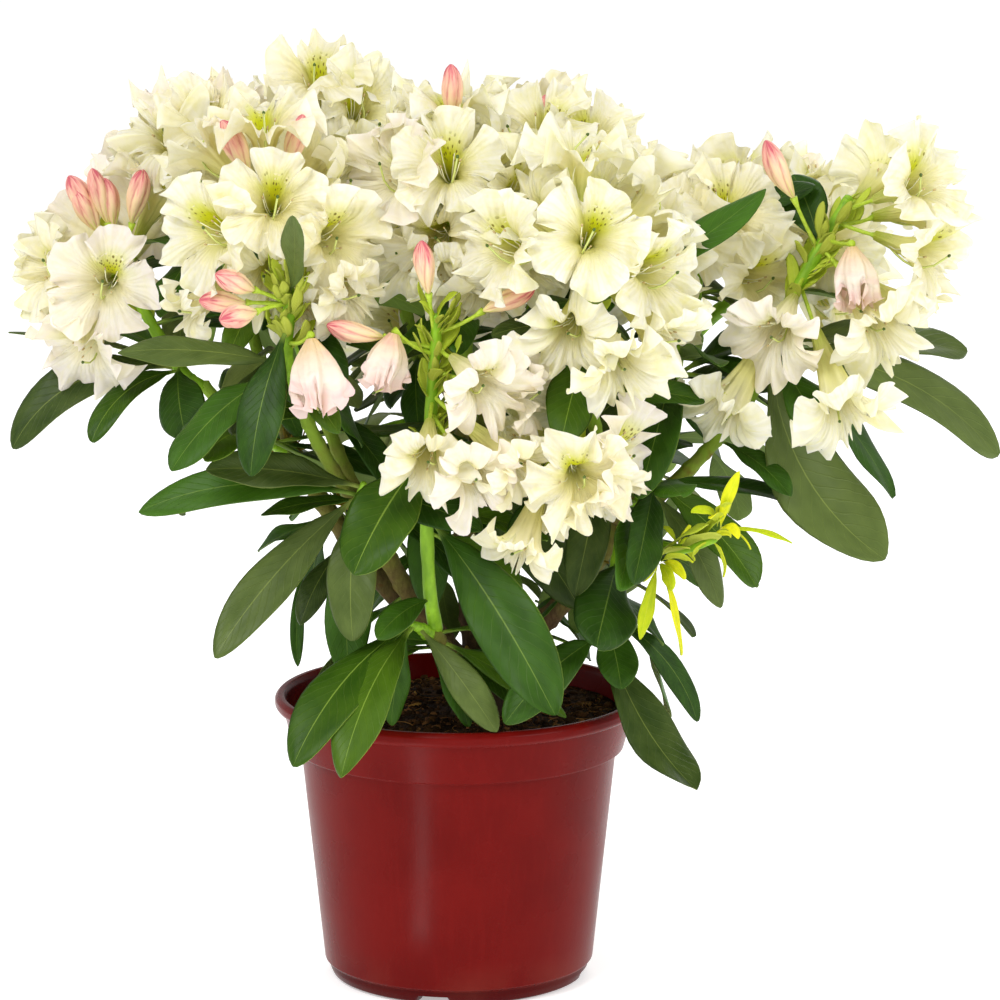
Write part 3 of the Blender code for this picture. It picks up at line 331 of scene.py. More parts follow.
shootTable = dict(
    truss_left=shoot(
        "limb_left_tip", 11, ((-174, -6, 390), (-206, -12, 448)), 60, 7, 2, tint=2,
        faces=((-66, 6, 0), (-40, -44, 6), (6, 12, 0)), buds=((-88, 62, 0), (-66, 74, 0), (50, 74, 0)),
        blades=((0.26, -274, -25, 340, 36, 60, 40), (0.24, -223, -52, 349, 30, 50, 30),
                (0.3, -164, -64, 352, 36, 40, 0), (0.3, -281, 30, 402, 26, 20, 0))),
    truss_left_front=shoot(
        "limb_left_front", 12, ((-101, -112, 408), (-99, -126, 446)), 46, 0, 1,
        droop=(-40, -10), tint=2, more=(0, 0), bells=((26, -82, -152, 404, 15),),
        buds=((-78, 4, 0), (-58, 24, 0), (-46, -4, 0)),
        blades=((0.3, -201, -128, 417, 26, 22, 35), (0.26, -168, -152, 350, 36, 40, 20),
                (0.84, -94, -180, 506, 30, -24, 145), (0.2, -122, -140, 376, 34, 30, 10),
                (0.2, -57, -84, 352, 34, 40, 20))),
    truss_low_centre=shoot(
        "limb_front", 26, ((-17, -86, 270), (-18, -96, 330), (-12, -120, 428)), 60,
        tint=2, green=1, more=(0, 0),
        bells=((6, 18, -164, 402, 27), (24, 46, -136, 392, 24), (44, -18, -160, 356, 24),
               (52, 12, -166, 346, 25), (40, 38, -156, 352, 22), (14, -42, -136, 410, 12)),
        buds=((-20, 70, 6), (-76, 14, 10), (74, 26, 0)),
        blades=((0.42, 59, -178, 208, 48, 35, 30), (0.56, -60, -174, 292, 48, 25, 20),
                (0.38, 40, -70, 246, 36, 40, 30), (0.5, 14, -40, 300, 34, 30, 20))),
    truss_front_left=shoot(
        "limb_left_inner", 13, ((-100, -58, 426), (-110, -76, 488)), 66, 6, 5, tint=1,
        faces=((-36, 0, 0), (2, 18, 0), (40, -4, 0)),
        bells=((16, -60, -128, 450, 24), (18, -160, -98, 438, 18)), buds=((-52, 60, 0), (40, 66, 0))),
    truss_upper_left=shoot(
        "limb_left_back", 14, ((-142, 44, 440), (-160, 34, 502)), 60, 9, 4, tint=1,
        faces=((-24, 34, 0), (14, 42, 0))),
    truss_back_left=shoot(
        "limb_left_back", 15, ((-158, 82, 426), (-184, 112, 452)), 60, 9, 5, tint=2, green=2),
    truss_top_left=shoot(
        "limb_centre_back", 16, ((-62, 94, 456), (-84, 92, 510)), 62, 9, 4,
        faces=((-8, 58, 0), (30, 36, 0))),
    truss_back=shoot("limb_centre_back", 17, ((-46, 120, 442), (-52, 156, 474)), 60, 9, 5, tint=1, green=2),
    truss_centre=shoot(
        "limb_centre_front", 18, ((4, -32, 442), (0, -42, 498)), 64, 8, 5, more=(9, -0.8),
        faces=((-6, 26, 0), (-42, 20, 0)),
        bells=((8, -12, -94, 478, 26), (18, 18, -96, 454, 24)), buds=((-8, 76, -14),)),
    truss_top_right=shoot(
        "limb_centre_right", 19, ((56, 40, 456), (60, 40, 500)), 62, 9, 4,
        more=(3, -0.3), faces=((-10, 36, 0), (34, 34, 0))),
    truss_back_right=shoot(
        "limb_centre_right", 20, ((64, 92, 438), (74, 144, 470)), 60, 9, 5, tint=1, green=2),
    truss_front_right=shoot(
        "limb_right_front", 21, ((78, -94, 416), (74, -104, 472)), 68, 6, 3,
        more=(7, -0.8), faces=((4, 18, 0), (-48, 10, 0), (46, -4, 0)),
        bells=((12, 66, -152, 430, 26), (18, 98, -156, 410, 26), (6, 128, -128, 424, 26)),
        blades=((0.34, 62, -150, 366, 36, 40, 20),)),
    truss_right_mid=shoot(
        "limb_right_up", 22, ((146, 16, 420), (150, 20, 456)), 60, 8, 5, tint=1,
        faces=((-14, 20, 0), (-30, -22, 0), (22, 34, 0)), blades=((0.8, 219, -14, 502, 24, 20, 60),)),
    truss_right=shoot(
        "limb_right_out", 23, ((202, -30, 430), (234, -20, 486)), 70, 0, 1, more=(0, 0),
        faces=((50, 22, 0), (60, -14, 6), (104, 8, 8), (92, -38, 24), (146, 14, 0), (176, -12, 16)),
        bells=((44, 190, -78, 417, 27), (56, 162, -70, 372, 29), (50, 233, -88, 374, 29),
               (24, 258, -76, 422, 29), (18, 240, -70, 450, 13)),
        buds=((-70, 62, 26),),
        blades=((0.14, 230, -80, 334, 40, 40, 25), (0.17, 264, -56, 280, 60, -24, 40),
                (0.12, 271, 10, 302, 34, 35, 30), (0.18, 319, 40, 390, 36, 20, 20),
                (0.14, 336, 8, 329, 42, 26, 35), (0.54, 206, 6, 506, 32, 15, 60))),
    truss_back_far_right=shoot("limb_back_right", 24, ((170, 96, 412), (204, 104, 442)), 60, 9, 5, green=2),
    truss_low_back=shoot("limb_back_low", 25, ((-4, 150, 362), (-14, 172, 394)), 56, 8, 5, tint=2, green=2),
    truss_low_right=shoot(
        "limb_right_front", 27, ((70, -104, 384), (60, -116, 360)), 44, 0, 0, tint=1,
        faces=((66, -6, 0), (20, -20, 0), (56, -50, 0)), bells=((0, 36, -148, 298, 24),)),
    leaves_left_low=shoot(
        "limb_left", 28, ((-58, -84, 322), (-56, -92, 332)),
        blades=((0.8, -150, -116, 344, 30, 22, 30), (0.5, -193, -84, 312, 36, 26, 30),
                (0.6, -144, -148, 236, 38, 24, 40), (0.6, -62, -120, 240, 36, 40, 10),
                (0.4, -66, -74, 206, 34, 20, 60), (0.4, -106, -70, 232, 24, 30, 30))),
    leaves_front_low=shoot(
        "limb_front", 29, ((-24, -80, 240), (-34, -84, 244)), green=1,
        blades=((0.7, -97, -167, 174, 42, 46, 15), (0.6, -68, -178, 170, 36, 46, 10),
                (0.8, -40, -104, 184, 22, 20, 60))),
    late_shoot_right=shoot("limb_right", 37, ((130, -88, 290), (156, -118, 302)), sprigs=10, fill=0),
    leaves_right_low=shoot(
        "limb_right", 30, ((96, -52, 268), (88, -60, 226)), leaves=2, droop=(-50, -10), sector=(110, 190),
        blades=((0.4, 84, -128, 238, 50, 35, 20), (0.95, 29, -124, 190, 32, 40, 20),
                (0.9, 145, -128, 150, 36, 56, 20), (0.85, 100, -92, 204, 30, 30, 20),
                (0.8, 148, -44, 172, 24, 50, 40))),
    leaves_right=shoot(
        "limb_right", 31, ((112, -50, 314), (124, -60, 330)), leaves=3,
        blades=((0.8, 134, -122, 330, 34, 25, 20), (0.8, 182, -76, 264, 38, 40, 30),
                (0.7, 162, -44, 244, 26, 30, 40), (0.85, 206, -32, 308, 24, 25, 10))),
    leaves_far_left=shoot(
        "limb_far_left", 35, ((-112, -34, 344), (-118, -46, 352)), leaves=7,
        droop=(-45, 0), sector=(-50, 110)),
    leaves_centre=shoot("limb_centre", 36, ((-6, -16, 338), (-10, -34, 346)), leaves=9, droop=(-55, -5)),
    leaves_right_up=shoot("limb_right_up", 38, ((132, -16, 392), (136, -32, 386)), leaves=6, droop=(-45, 0)),
    leaves_back_left=shoot(
        "limb_far_left", 32, ((-116, 10, 330), (-140, 40, 318)), leaves=8,
        droop=(-28, 6), sector=(-230, -125), green=2),
    leaves_back_right=shoot(
        "limb_back", 33, ((76, 104, 312), (108, 112, 306)), leaves=8, droop=(-45, 0), sector=(80, 215)),
    leaves_back=shoot(
        "limb_back_low", 34, ((-24, 138, 330), (-54, 146, 322)), leaves=7,
        droop=(-45, 0), sector=(110, 260), green=2),
)


def framesAlong(direction):  # two unit vectors square to a direction, the second upright
    side = direction.cross(Vector((0, 0, 1)))
    if side.length < 0.05:
        side = direction.cross(Vector((0, -1, 0)))
    side.normalize()
    return side, side.cross(direction).normalized()


def swung(side, up, turn):
    return side * math.cos(turn) + up * math.sin(turn)


def plainTube(points, radii, sides):  # closed tube of flat sides that turns with its path
    verts, faces, side = [], [], None
    for i, point in enumerate(points):
        ahead = (points[min(i + 1, len(points) - 1)] - points[max(i - 1, 0)]).normalized()
        if side is None:
            side, up = framesAlong(ahead)
        else:
            side = (side - ahead * side.dot(ahead)).normalized()
            up = side.cross(ahead).normalized()
        verts += [point + swung(side, up, tau * k / sides) * radii[i] for k in range(sides)]
    for i in range(len(points) - 1):
        for k in range(sides):
            a, j = i * sides, (k + 1) % sides
            faces.append((a + k, a + sides + k, a + sides + j, a + j))
    faces += [tuple(range(sides)), tuple(reversed(range(len(verts) - sides, len(verts))))]
    return verts, faces


def plainLeaf(base, tip, width, bend, turn, outward, sections):
    # petiole, blade and point on an arc: base + ahead r (sin a + sin h) + rise r (cos a - cos h),
    # where h is half the bend and r the chord over 2 sin h
    chord = tip - base
    ahead = chord.normalized()
    rise = Vector((0, 0, 1)) + outward * growth["leafRise"]
    rise = (rise - ahead * rise.dot(ahead)).normalized()
    half = math.radians(bend) / 2
    radius = chord.length / (2 * math.sin(half))
    thick = max(chord.length / 90, growth["leafThinnest"])
    verts = [base]
    for share, swell in sections:
        angle = half * (2 * share - 1)
        point = base + ahead * radius * (math.sin(angle) + math.sin(half))
        point += rise * radius * (math.cos(angle) - math.cos(half))
        along = ahead * math.cos(angle) - rise * math.sin(angle)
        normal = rise * math.cos(angle) + ahead * math.sin(angle)
        side = along.cross(normal)
        normal = swung(normal, side if side.y < 0 else -side, math.radians(turn))
        side = along.cross(normal)
        reach = max(growth["petiole"], width * swell) / 2
        ridge = thick if swell else growth["petiole"] * 0.8
        verts += [point - side * reach, point + side * reach, point + normal * ridge]
    verts.append(tip)
    faces = [(0, 2, 1), (0, 3, 2), (0, 1, 3)]
    last = len(verts) - 4
    for first in range(1, last, 3):
        for i in range(3):
            a, b = first + i, first + (i + 1) % 3
            faces += [(a, b, b + 3), (a, b + 3, a + 3)]
    return verts, faces + [(last + i, last + (i + 1) % 3, last + 3) for i in range(3)]


def plainFlower(base, aim, reach, mouth):  # a funnel with five lobes and a hollow throat
    side, up = framesAlong(aim)
    lobes = growth["lobes"]
    verts = [base]
    for k in range(lobes):
        out = swung(side, up, tau * k / lobes)
        verts.append(base + aim * reach * growth["tubeShare"] + out * growth["tubeRadius"])
    for k in range(2 * lobes):
        out = swung(side, up, tau * (k - 0.5) / (2 * lobes) + math.pi / (2 * lobes))
        lobe = 1.0 if k % 2 == 0 else growth["notch"]
        verts.append(base + aim * reach * (0.98 if k % 2 == 0 else 1.0) + out * mouth * lobe)
    verts.append(base + aim * reach * growth["throatShare"])
    faces = []
    for k in range(lobes):
        a, b = 1 + k, 1 + (k + 1) % lobes
        tip, notch, after = 6 + 2 * k, 7 + 2 * k, 6 + (2 * k + 2) % 10
        faces += [(0, b, a), (a, notch, tip), (a, b, notch), (b, after, notch)]
    return verts, faces + [(16, 6 + k, 6 + (k + 1) % (2 * lobes)) for k in range(2 * lobes)]


def plainBud(base, aim, reach):  # a slim stalk and a spindle of four sides
    side, up = framesAlong(aim)
    verts = [base]
    for share, radius in ((0.5, 2.4 * mm), (0.8, growth["budRadius"])):
        for k in range(4):
            verts.append(base + aim * reach * share + swung(side, up, tau * k / 4) * radius)
    verts.append(base + aim * reach)
    faces = []
    for k in range(4):
        a, b = 1 + k, 1 + (k + 1) % 4
        faces += [(0, b, a), (a, b, b + 4), (a, b + 4, a + 4), (a + 4, b + 4, 9)]
    return verts, faces


fuses = dict(bloom="truss", filler="truss", bud="truss", leaf="whorl", sprig="whorl", stem="stem", finer="")
solids = []  # every solid that holds room: owner, kind, lowest and highest corner, tree


def boxed(verts, faces):
    tree = BVHTree.FromPolygons([tuple(v) for v in verts], [tuple(f) for f in faces])
    low, high = (Vector([end(v[i] for v in verts) for i in range(3)]) for end in (min, max))
    return low, high, tree


def hold(owner, kind, verts, faces):
    solids.append((owner, kind, *boxed(verts, faces)))


def isFree(owner, kind, verts, faces):  # touches nothing but pieces that it is fused to
    centre = sum(verts, Vector()) / len(verts)
    low, high, tree = boxed([centre + (v - centre) * (1 + growth["margin"]) for v in verts], faces)
    for other, otherKind, otherLow, otherHigh, otherTree in solids:
        if other == owner and (otherKind == "stem" or fuses[kind] and fuses[kind] == fuses[otherKind]):
            continue
        if kind == "finer" and other == shootTable[owner]["limb"]:
            continue
        near = all(low[i] <= otherHigh[i] and high[i] >= otherLow[i] for i in range(3))
        if near and tree.overlap(otherTree):
            return False
    return True


shapers = dict(bloom=plainFlower, filler=plainFlower, bud=plainBud, leaf=plainLeaf, sprig=plainLeaf,
               finer=plainLeaf)
plan = {name: [] for name in shootTable}  # what each shoot bears: kind and measures


def offer(owner, kind, choices):  # takes the first of the choices that has room
    for measures in choices:
        solid = shapers[kind](*measures)
        if isFree(owner, kind, *solid):
            hold(owner, kind, *solid)
            plan[owner].append((kind, measures))
            return True
    return False


def startInside(tipPath, tipRadius, target):
    tip = tipPath[-1]
    ahead = (tip - tipPath[-2]).normalized()
    out = target - tip
    out -= ahead * out.dot(ahead)
    offset = out.normalized() * tipRadius * growth["startOffset"] if out.length > 1e-6 else Vector()
    return tip - ahead * tipRadius * growth["startDepth"] + offset


def limbCurve(start, end, count):  # start (1-t)^2 + elbow 2 t (1-t) + end t^2
    elbow = start.lerp(end, 0.5) + Vector((end.x - start.x, end.y - start.y, 0)) * growth["elbowOut"]
    elbow.z -= (end - start).length * growth["elbowSag"]
    shares = [i / (count - 1) for i in range(count)]
    return [start * (1 - t) ** 2 + elbow * 2 * t * (1 - t) + end * t ** 2 for t in shares]


def heading(azimuth, elevation):  # azimuth 0 towards the front and + to the right, in degrees
    azimuth, elevation = math.radians(azimuth), math.radians(elevation)
    flat = math.cos(elevation)
    return Vector((math.sin(azimuth) * flat, -math.cos(azimuth) * flat, math.sin(elevation)))


def axisPoint(points, share):
    place = share * (len(points) - 1)
    i = min(int(place), len(points) - 2)
    return points[i].lerp(points[i + 1], place - i)


def crownOutward(point):
    fork = Vector(growth["trunkFork"]) * mm
    out = Vector((point.x - fork.x, point.y - fork.y, 0))
    return out.normalized() if out.length > 1e-6 else Vector((0, -1, 0))


def stalkPoint(own, drop):
    centre, below = Vector(own["way"][-1]) * mm, Vector(own["way"][-2]) * mm
    return centre + (below - centre).normalized() * drop * mm


def flowerChoices(base, aim, reach, mouth=growth["mouth"], sizes=growth["bloomSizes"]):
    return [(base, aim, reach * (0.5 + 0.5 * size), mouth * size) for size in sizes]


def leafMeasures(base, tip, width, bend, turn, sections):
    return base, tip, width, bend, turn, crownOutward(base), growth[sections]


def growLimbs():
    # trunk and limbs: each limb's path and radii; the mass of the pot, soil and limbs holds its room
    foot = Vector(growth["trunkFoot"]) * mm + Vector((0, 0, potRule["soil"] + growth["gap"]))
    fork = Vector(growth["trunkFork"]) * mm
    length = fork.z - potRule["soil"] - growth["gap"]
    path = [foot.lerp(fork, min(h * mm / length, 1.0)) for h in growth["trunkRings"]]
    flare = [math.exp(-(p.z - path[0].z) / growth["flareLength"]) for p in path]
    radii = [growth["trunkRadius"] + (growth["footRadius"] - growth["trunkRadius"]) * f for f in flare]
    grown = {"trunk": (path, radii)}
    rings = growth["limbRings"]
    for name, (parent, tip, first, last) in limbTable.items():
        tip = Vector(tip) * mm
        path = limbCurve(startInside(grown[parent][0], grown[parent][1][-1], tip), tip, rings)
        grown[name] = (path, [(first + (last - first) * i / (rings - 1)) * mm for i in range(rings)])
    for name in ("pot", "compost"):
        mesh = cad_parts[name].data
        hold(name, "pot", [v.co for v in mesh.vertices], [p.vertices for p in mesh.polygons])
    for name, (path, radii) in grown.items():
        sides = growth["trunkSides"] if name == "trunk" else growth["limbSides"]
        hold(name, "limb", *plainTube(path, [r + growth["gap"] for r in radii], sides))
    return grown


def growStems():
    grown = {}
    for name, own in shootTable.items():
        path, radii = limbs[own["limb"]]
        way = [Vector(p) * mm for p in own["way"]]
        points = [startInside(path, radii[-1], way[0])] + way
        last = growth["shootEnd"]
        if own["reach"]:
            points.append(way[-1] + (way[-1] - way[-2]).normalized() * growth["rachisTop"])
            last = growth["rachisRadius"]
        first, count = growth["shootRadius"], len(points)
        grown[name] = (points, [first + (last - first) * i / (count - 1) for i in range(count)])
        hold(name, "stem", *plainTube(*grown[name], growth["stemSides"]))
    return grown


def growSetPieces(name, own):  # the flowers, buds, leaves and sprigs that lead the outline
    points, reach = stems[name][0], own["reach"] * mm
    for azimuth, elevation, drop in own["faces"]:
        offer(name, "bloom", flowerChoices(stalkPoint(own, drop), heading(azimuth, elevation), reach))
    for drop, x, y, z, radius in own["bells"]:
        base = stalkPoint(own, drop)
        way = Vector((x, y, z)) * mm - base
        offer(name, "bloom", flowerChoices(base, way.normalized(), way.length, radius * mm))
    for azimuth, elevation, drop in own["buds"]:
        offer(name, "bud", [(stalkPoint(own, drop), heading(azimuth, elevation), reach + growth["budExtra"])])
    for share, x, y, z, width, bend, turn in own["blades"]:
        base, tip = axisPoint(points, share), Vector((x, y, z)) * mm
        offer(name, "leaf", [leafMeasures(base, base.lerp(tip, size), width * mm * size, bend, turn, "lead")
                             for size in growth["leafSizes"]])
    rng = random.Random(own["seed"] + 900)
    for i in range(own["sprigs"]):
        share, droop = ((0.94, (-28, 34)), (0.56, (-84, -30)))[i % 2]
        base = axisPoint(points, share)
        way = heading(growth["sprigSwing"] * i + growth["sprigFirst"], rng.uniform(*droop))
        tip = base + way * rng.uniform(*growth["sprigLengths"])
        offer(name, "sprig", [leafMeasures(base, tip, growth["sprigWidth"], 40, 20, "grown")])


def trussAim(own, lift, turn):  # axis lift + (side cos turn + up sin turn) sqrt(1 - lift^2)
    axis = (stalkPoint(own, 0) - stalkPoint(own, 1)).normalized()
    axis = (axis + Vector((0, 0, growth["trussLift"]))).normalized()
    return (axis * lift + swung(*framesAlong(axis), turn) * math.sqrt(1 - lift * lift)).normalized()


def growFlowers(name, own):  # flowers by the golden angle over the truss
    rng = random.Random(own["seed"])
    taken = [heading(azimuth, elevation) for azimuth, elevation, drop in own["faces"]]
    total = own["flowers"] + len(taken)
    phase = rng.uniform(0, tau)
    for i in range(3 * total):
        if len(taken) >= total:
            break
        aim = trussAim(own, 1 + (own["spread"] - 1) * ((i * goldenShare) % 1.0), phase + i * goldenAngle)
        if any(aim.angle(other) < growth["spacing"] for other in taken):
            continue
        if offer(name, "bloom", flowerChoices(stalkPoint(own, 0), aim, own["reach"] * mm)):
            taken.append(aim)


def growLeaves(name, own):  # leaves in a whorl under the truss, turned where they clash
    rng = random.Random(own["seed"] + 500)
    phase = rng.random()
    first, last = own["sector"]
    whorl = growth["trussWhorl"] if own["reach"] else growth["leafWhorl"]
    for i in range(own["leaves"]):
        base = axisPoint(stems[name][0], rng.uniform(*whorl))
        length = rng.uniform(*growth["leafLengths"])
        azimuth = first + (last - first) * ((phase + i * goldenShare) % 1.0)
        elevation = rng.uniform(*own["droop"])
        bend = rng.uniform(*growth["leafBends"])
        turn = rng.uniform(*growth["leafTurns"])
        choices = []
        for swing, dip, size in growth["leafTries"]:
            tip = base + heading(azimuth + swing, elevation + dip) * length * size
            choices.append(leafMeasures(base, tip, length * size * growth["leafSlimness"], bend, turn,
                                        "grown"))
        offer(name, "leaf", choices)


fillerRule = dict(directions=34, spacing=math.radians(36), reach=(0.78, 0.88), mouth=29 * mm,
                  sizes=(1.0, 0.85, 0.7))


def growFillers(name, own):
    # more flowers for a full truss, in the gaps between those of the solid, pressed close
    taken = [measures[1] for kind, measures in plan[name] if kind in ("bloom", "bud")]
    added = 0
    for i in range(fillerRule["directions"]):
        lift = 1 + (own["more"][1] - 1) * (i + 0.5) / fillerRule["directions"]
        aim = trussAim(own, lift, own["seed"] + i * goldenAngle)
        if added >= own["more"][0] or any(aim.angle(other) < fillerRule["spacing"] for other in taken):
            continue
        near, far = fillerRule["reach"]
        reach = own["reach"] * mm * (near + (far - near) * ((i * goldenShare) % 1))
        choices = flowerChoices(stalkPoint(own, 4), aim, reach, fillerRule["mouth"], fillerRule["sizes"])
        if offer(name, "filler", choices):
            taken.append(aim)
            added += 1


# bells that hang between two trusses: mm down the stalk, mouth x, y, z and radius; each is tried
# further forwards or back, and smaller
extraShifts, extraSizes = (0, 7, 14, -7), (1.0, 0.88, 0.76)
extraBells = dict(
    truss_centre=((16, -34, -92, 466, 26), (20, -6, -98, 452, 26), (22, 22, -100, 438, 24),
                  (14, 44, -92, 462, 24)),
    truss_front_left=((18, -88, -122, 436, 24), (20, -64, -112, 432, 22)),
    truss_front_right=((14, 30, -124, 436, 25), (16, 52, -134, 412, 24)))


def growExtraBells(name, own):
    for drop, x, y, z, radius in extraBells.get(name, ()):
        base = stalkPoint(own, drop)
        choices = []
        for shift in extraShifts:
            way = Vector((x, y + shift, z)) * mm - base
            choices += flowerChoices(base, way.normalized(), way.length, radius * mm, extraSizes)
        offer(name, "filler", choices)


# shares: places along the shoot and along its limb
finerRule = dict(lengths=(58 * mm, 104 * mm), tries=7, droop=(-62, 12), slimness=(0.28, 0.36),
                 bends=(20, 55), turns=(-20, 40), shares=((0.12, 0.55), (0.5, 0.95)))


def growFiner(name, own):
    # smaller leaves along the shoot and the end of its limb, wherever there is still room
    rng = random.Random(own["seed"] + 4000)
    carriers = (stems[name][0], limbs[own["limb"]][0])
    for i in range(own["fill"]):
        choices = []
        for k in range(finerRule["tries"]):
            which = (i + k) % 2
            base = axisPoint(carriers[which], rng.uniform(*finerRule["shares"][which]))
            length = rng.uniform(*finerRule["lengths"])
            tip = base + heading(rng.uniform(-180, 180), rng.uniform(*finerRule["droop"])) * length
            choices.append(leafMeasures(base, tip, length * rng.uniform(*finerRule["slimness"]),
                                        rng.uniform(*finerRule["bends"]),
                                        rng.uniform(*finerRule["turns"]), "grown"))
        offer(name, "finer", choices)


limbs = growLimbs()
stems = growStems()
for grow in (growSetPieces, growFlowers, growLeaves, growExtraBells, growFillers, growFiner):
    for name, own in shootTable.items():
        if grow is not growFillers or own["reach"]:
            grow(name, own)
print("grown", {kind: sum(k == kind for part in plan.values() for k, measures in part) for kind in shapers})


def asArray(vector):
    return np.array(tuple(vector), float)


# leaves: leathery, evergreen, with a sunk midrib above and a raised one below

# widest: share along the blade; foot, point: powers of its outline below and beyond that; roll,
# twist: how far each leaf differs, in radians; edges: share of the thickness above and below;
# ridgeWidth: against the half width; sunk: the midrib above against that below; flatFrom, tipFrom:
# where the round stalk has become the blade, and where it fades
leafLook = dict(rows=17, ring=16, widest=0.56, foot=(1.7, 0.9), point=(2.2, 0.64), petioleShare=0.11,
                petioleRadius=1.5 * mm, thickness=0.9 * mm, camber=0.15, rolledEdge=0.16, wave=0.07,
                ridge=0.9 * mm, variants=4, roll=0.08, twist=0.25, waves=(1.2, 2.4), cambers=(0.2, 2.2),
                edges=(0.35, -0.65), ridgeWidth=0.09, sunk=0.45, flatFrom=0.16, tipFrom=0.6)


def drawLeaf(sheaf, measures, seed, rows=None, thin=1.0, petiole=1.0, ring=None):
    # point on the arc + side w x(t) + normal (camber |x| - rolled edge |x|^3 + waves), where the
    # half width w is (1 - (1 - q/m)^a)^b up to the widest place m and (1 - ((q-m)/(1-m))^c)^d
    # beyond it, so the blade tapers to its stalk and ends bluntly; x goes across and back
    base, tip, width, bend, turn, outward, sections = measures
    base, tip, outward = asArray(base), asArray(tip), asArray(outward)
    rng = np.random.default_rng(seed)
    look = leafLook
    rows, ring = rows or look["rows"], ring or look["ring"]
    s = 0.994 * (1 - np.linspace(1, 0, rows) ** 1.35)
    chord = tip - base
    length = np.linalg.norm(chord)
    ahead = chord / length
    rise = np.array([0, 0, 1.0]) + outward * growth["leafRise"]
    rise = unit(rise - ahead * rise.dot(ahead))
    half = math.radians(bend) / 2
    radius = length / (2 * math.sin(half))
    angle = half * (2 * s - 1)
    line = base + np.outer(radius * (np.sin(angle) + math.sin(half)), ahead)
    line += np.outer(radius * (np.cos(angle) - math.cos(half)), rise)
    along = np.outer(np.cos(angle), ahead) - np.outer(np.sin(angle), rise)
    normal = np.outer(np.cos(angle), rise) + np.outer(np.sin(angle), ahead)
    side = np.cross(along, normal)
    front = side if side[rows // 2, 1] < 0 else -side
    roll = math.radians(turn) + rng.uniform(-look["roll"], look["roll"])
    roll = roll + rng.uniform(-look["twist"], look["twist"]) * s[:, None]
    normal = normal * np.cos(roll) + front * np.sin(roll)
    side = np.cross(along, normal)

    t = tau * np.arange(ring + 1) / ring
    x = np.sign(np.cos(t)) * np.abs(np.cos(t)) ** 1.25
    q = np.clip((s - look["petioleShare"]) / (1 - look["petioleShare"]), 0, 1)
    widest, foot, point = look["widest"], look["foot"], look["point"]
    blade = np.where(q < widest, (1 - np.clip(1 - q / widest, 0, 1) ** foot[0]) ** foot[1],
                     (1 - np.clip((q - widest) / (1 - widest), 0, 1) ** point[0]) ** point[1])
    stalk = look["petioleRadius"] * petiole * min(1, length / 0.1) * (1 - 0.35 * s)
    halfWidth = np.maximum(width / 2 * blade, stalk * (1 - softStep(q, look["tipFrom"], 1.0)))[:, None]
    share = softStep(q, 0.0, look["flatFrom"])[:, None]  # 0 in the round stalk, 1 in the flat blade
    upper = np.where(np.sin(t) >= -1e-9, 1.0, -1.0)[:-1]
    edge = np.abs(np.sin(t[:-1])) ** 0.5
    cx = x[:-1][None, :]
    wave = np.sin(tau * (s[:, None] * rng.uniform(*look["waves"])) + rng.uniform(0, tau)
                  + np.sign(cx) * rng.uniform(0, 1.5))
    wave = look["wave"] * width * wave * cx ** 2
    away = np.abs(cx)
    camber = look["camber"] * rng.uniform(*look["cambers"]) * away - look["rolledEdge"] * away ** 3
    body = np.where(upper > 0, *look["edges"]) * look["thickness"] * thin * edge
    rib = np.exp(-(cx / look["ridgeWidth"]) ** 2) * look["ridge"] * thin * (1 - 0.8 * s[:, None])
    lift = halfWidth * camber + wave + body - np.where(upper > 0, look["sunk"] * rib, rib)
    lift = lift * share + stalk[:, None] * np.sin(t[:-1]) * (1 - share)
    verts = line[:, None] + side[:, None] * (halfWidth * cx)[..., None] + normal[:, None] * lift[..., None]

    u = np.where(np.arange(ring + 1) <= ring // 2, (1 - x) / 4, 0.5 + (1 + x) / 4)
    u = (rng.integers(look["variants"]) + 0.02 + 0.96 * u) / look["variants"]
    addClosed(sheaf, verts, base, tip, s, u)


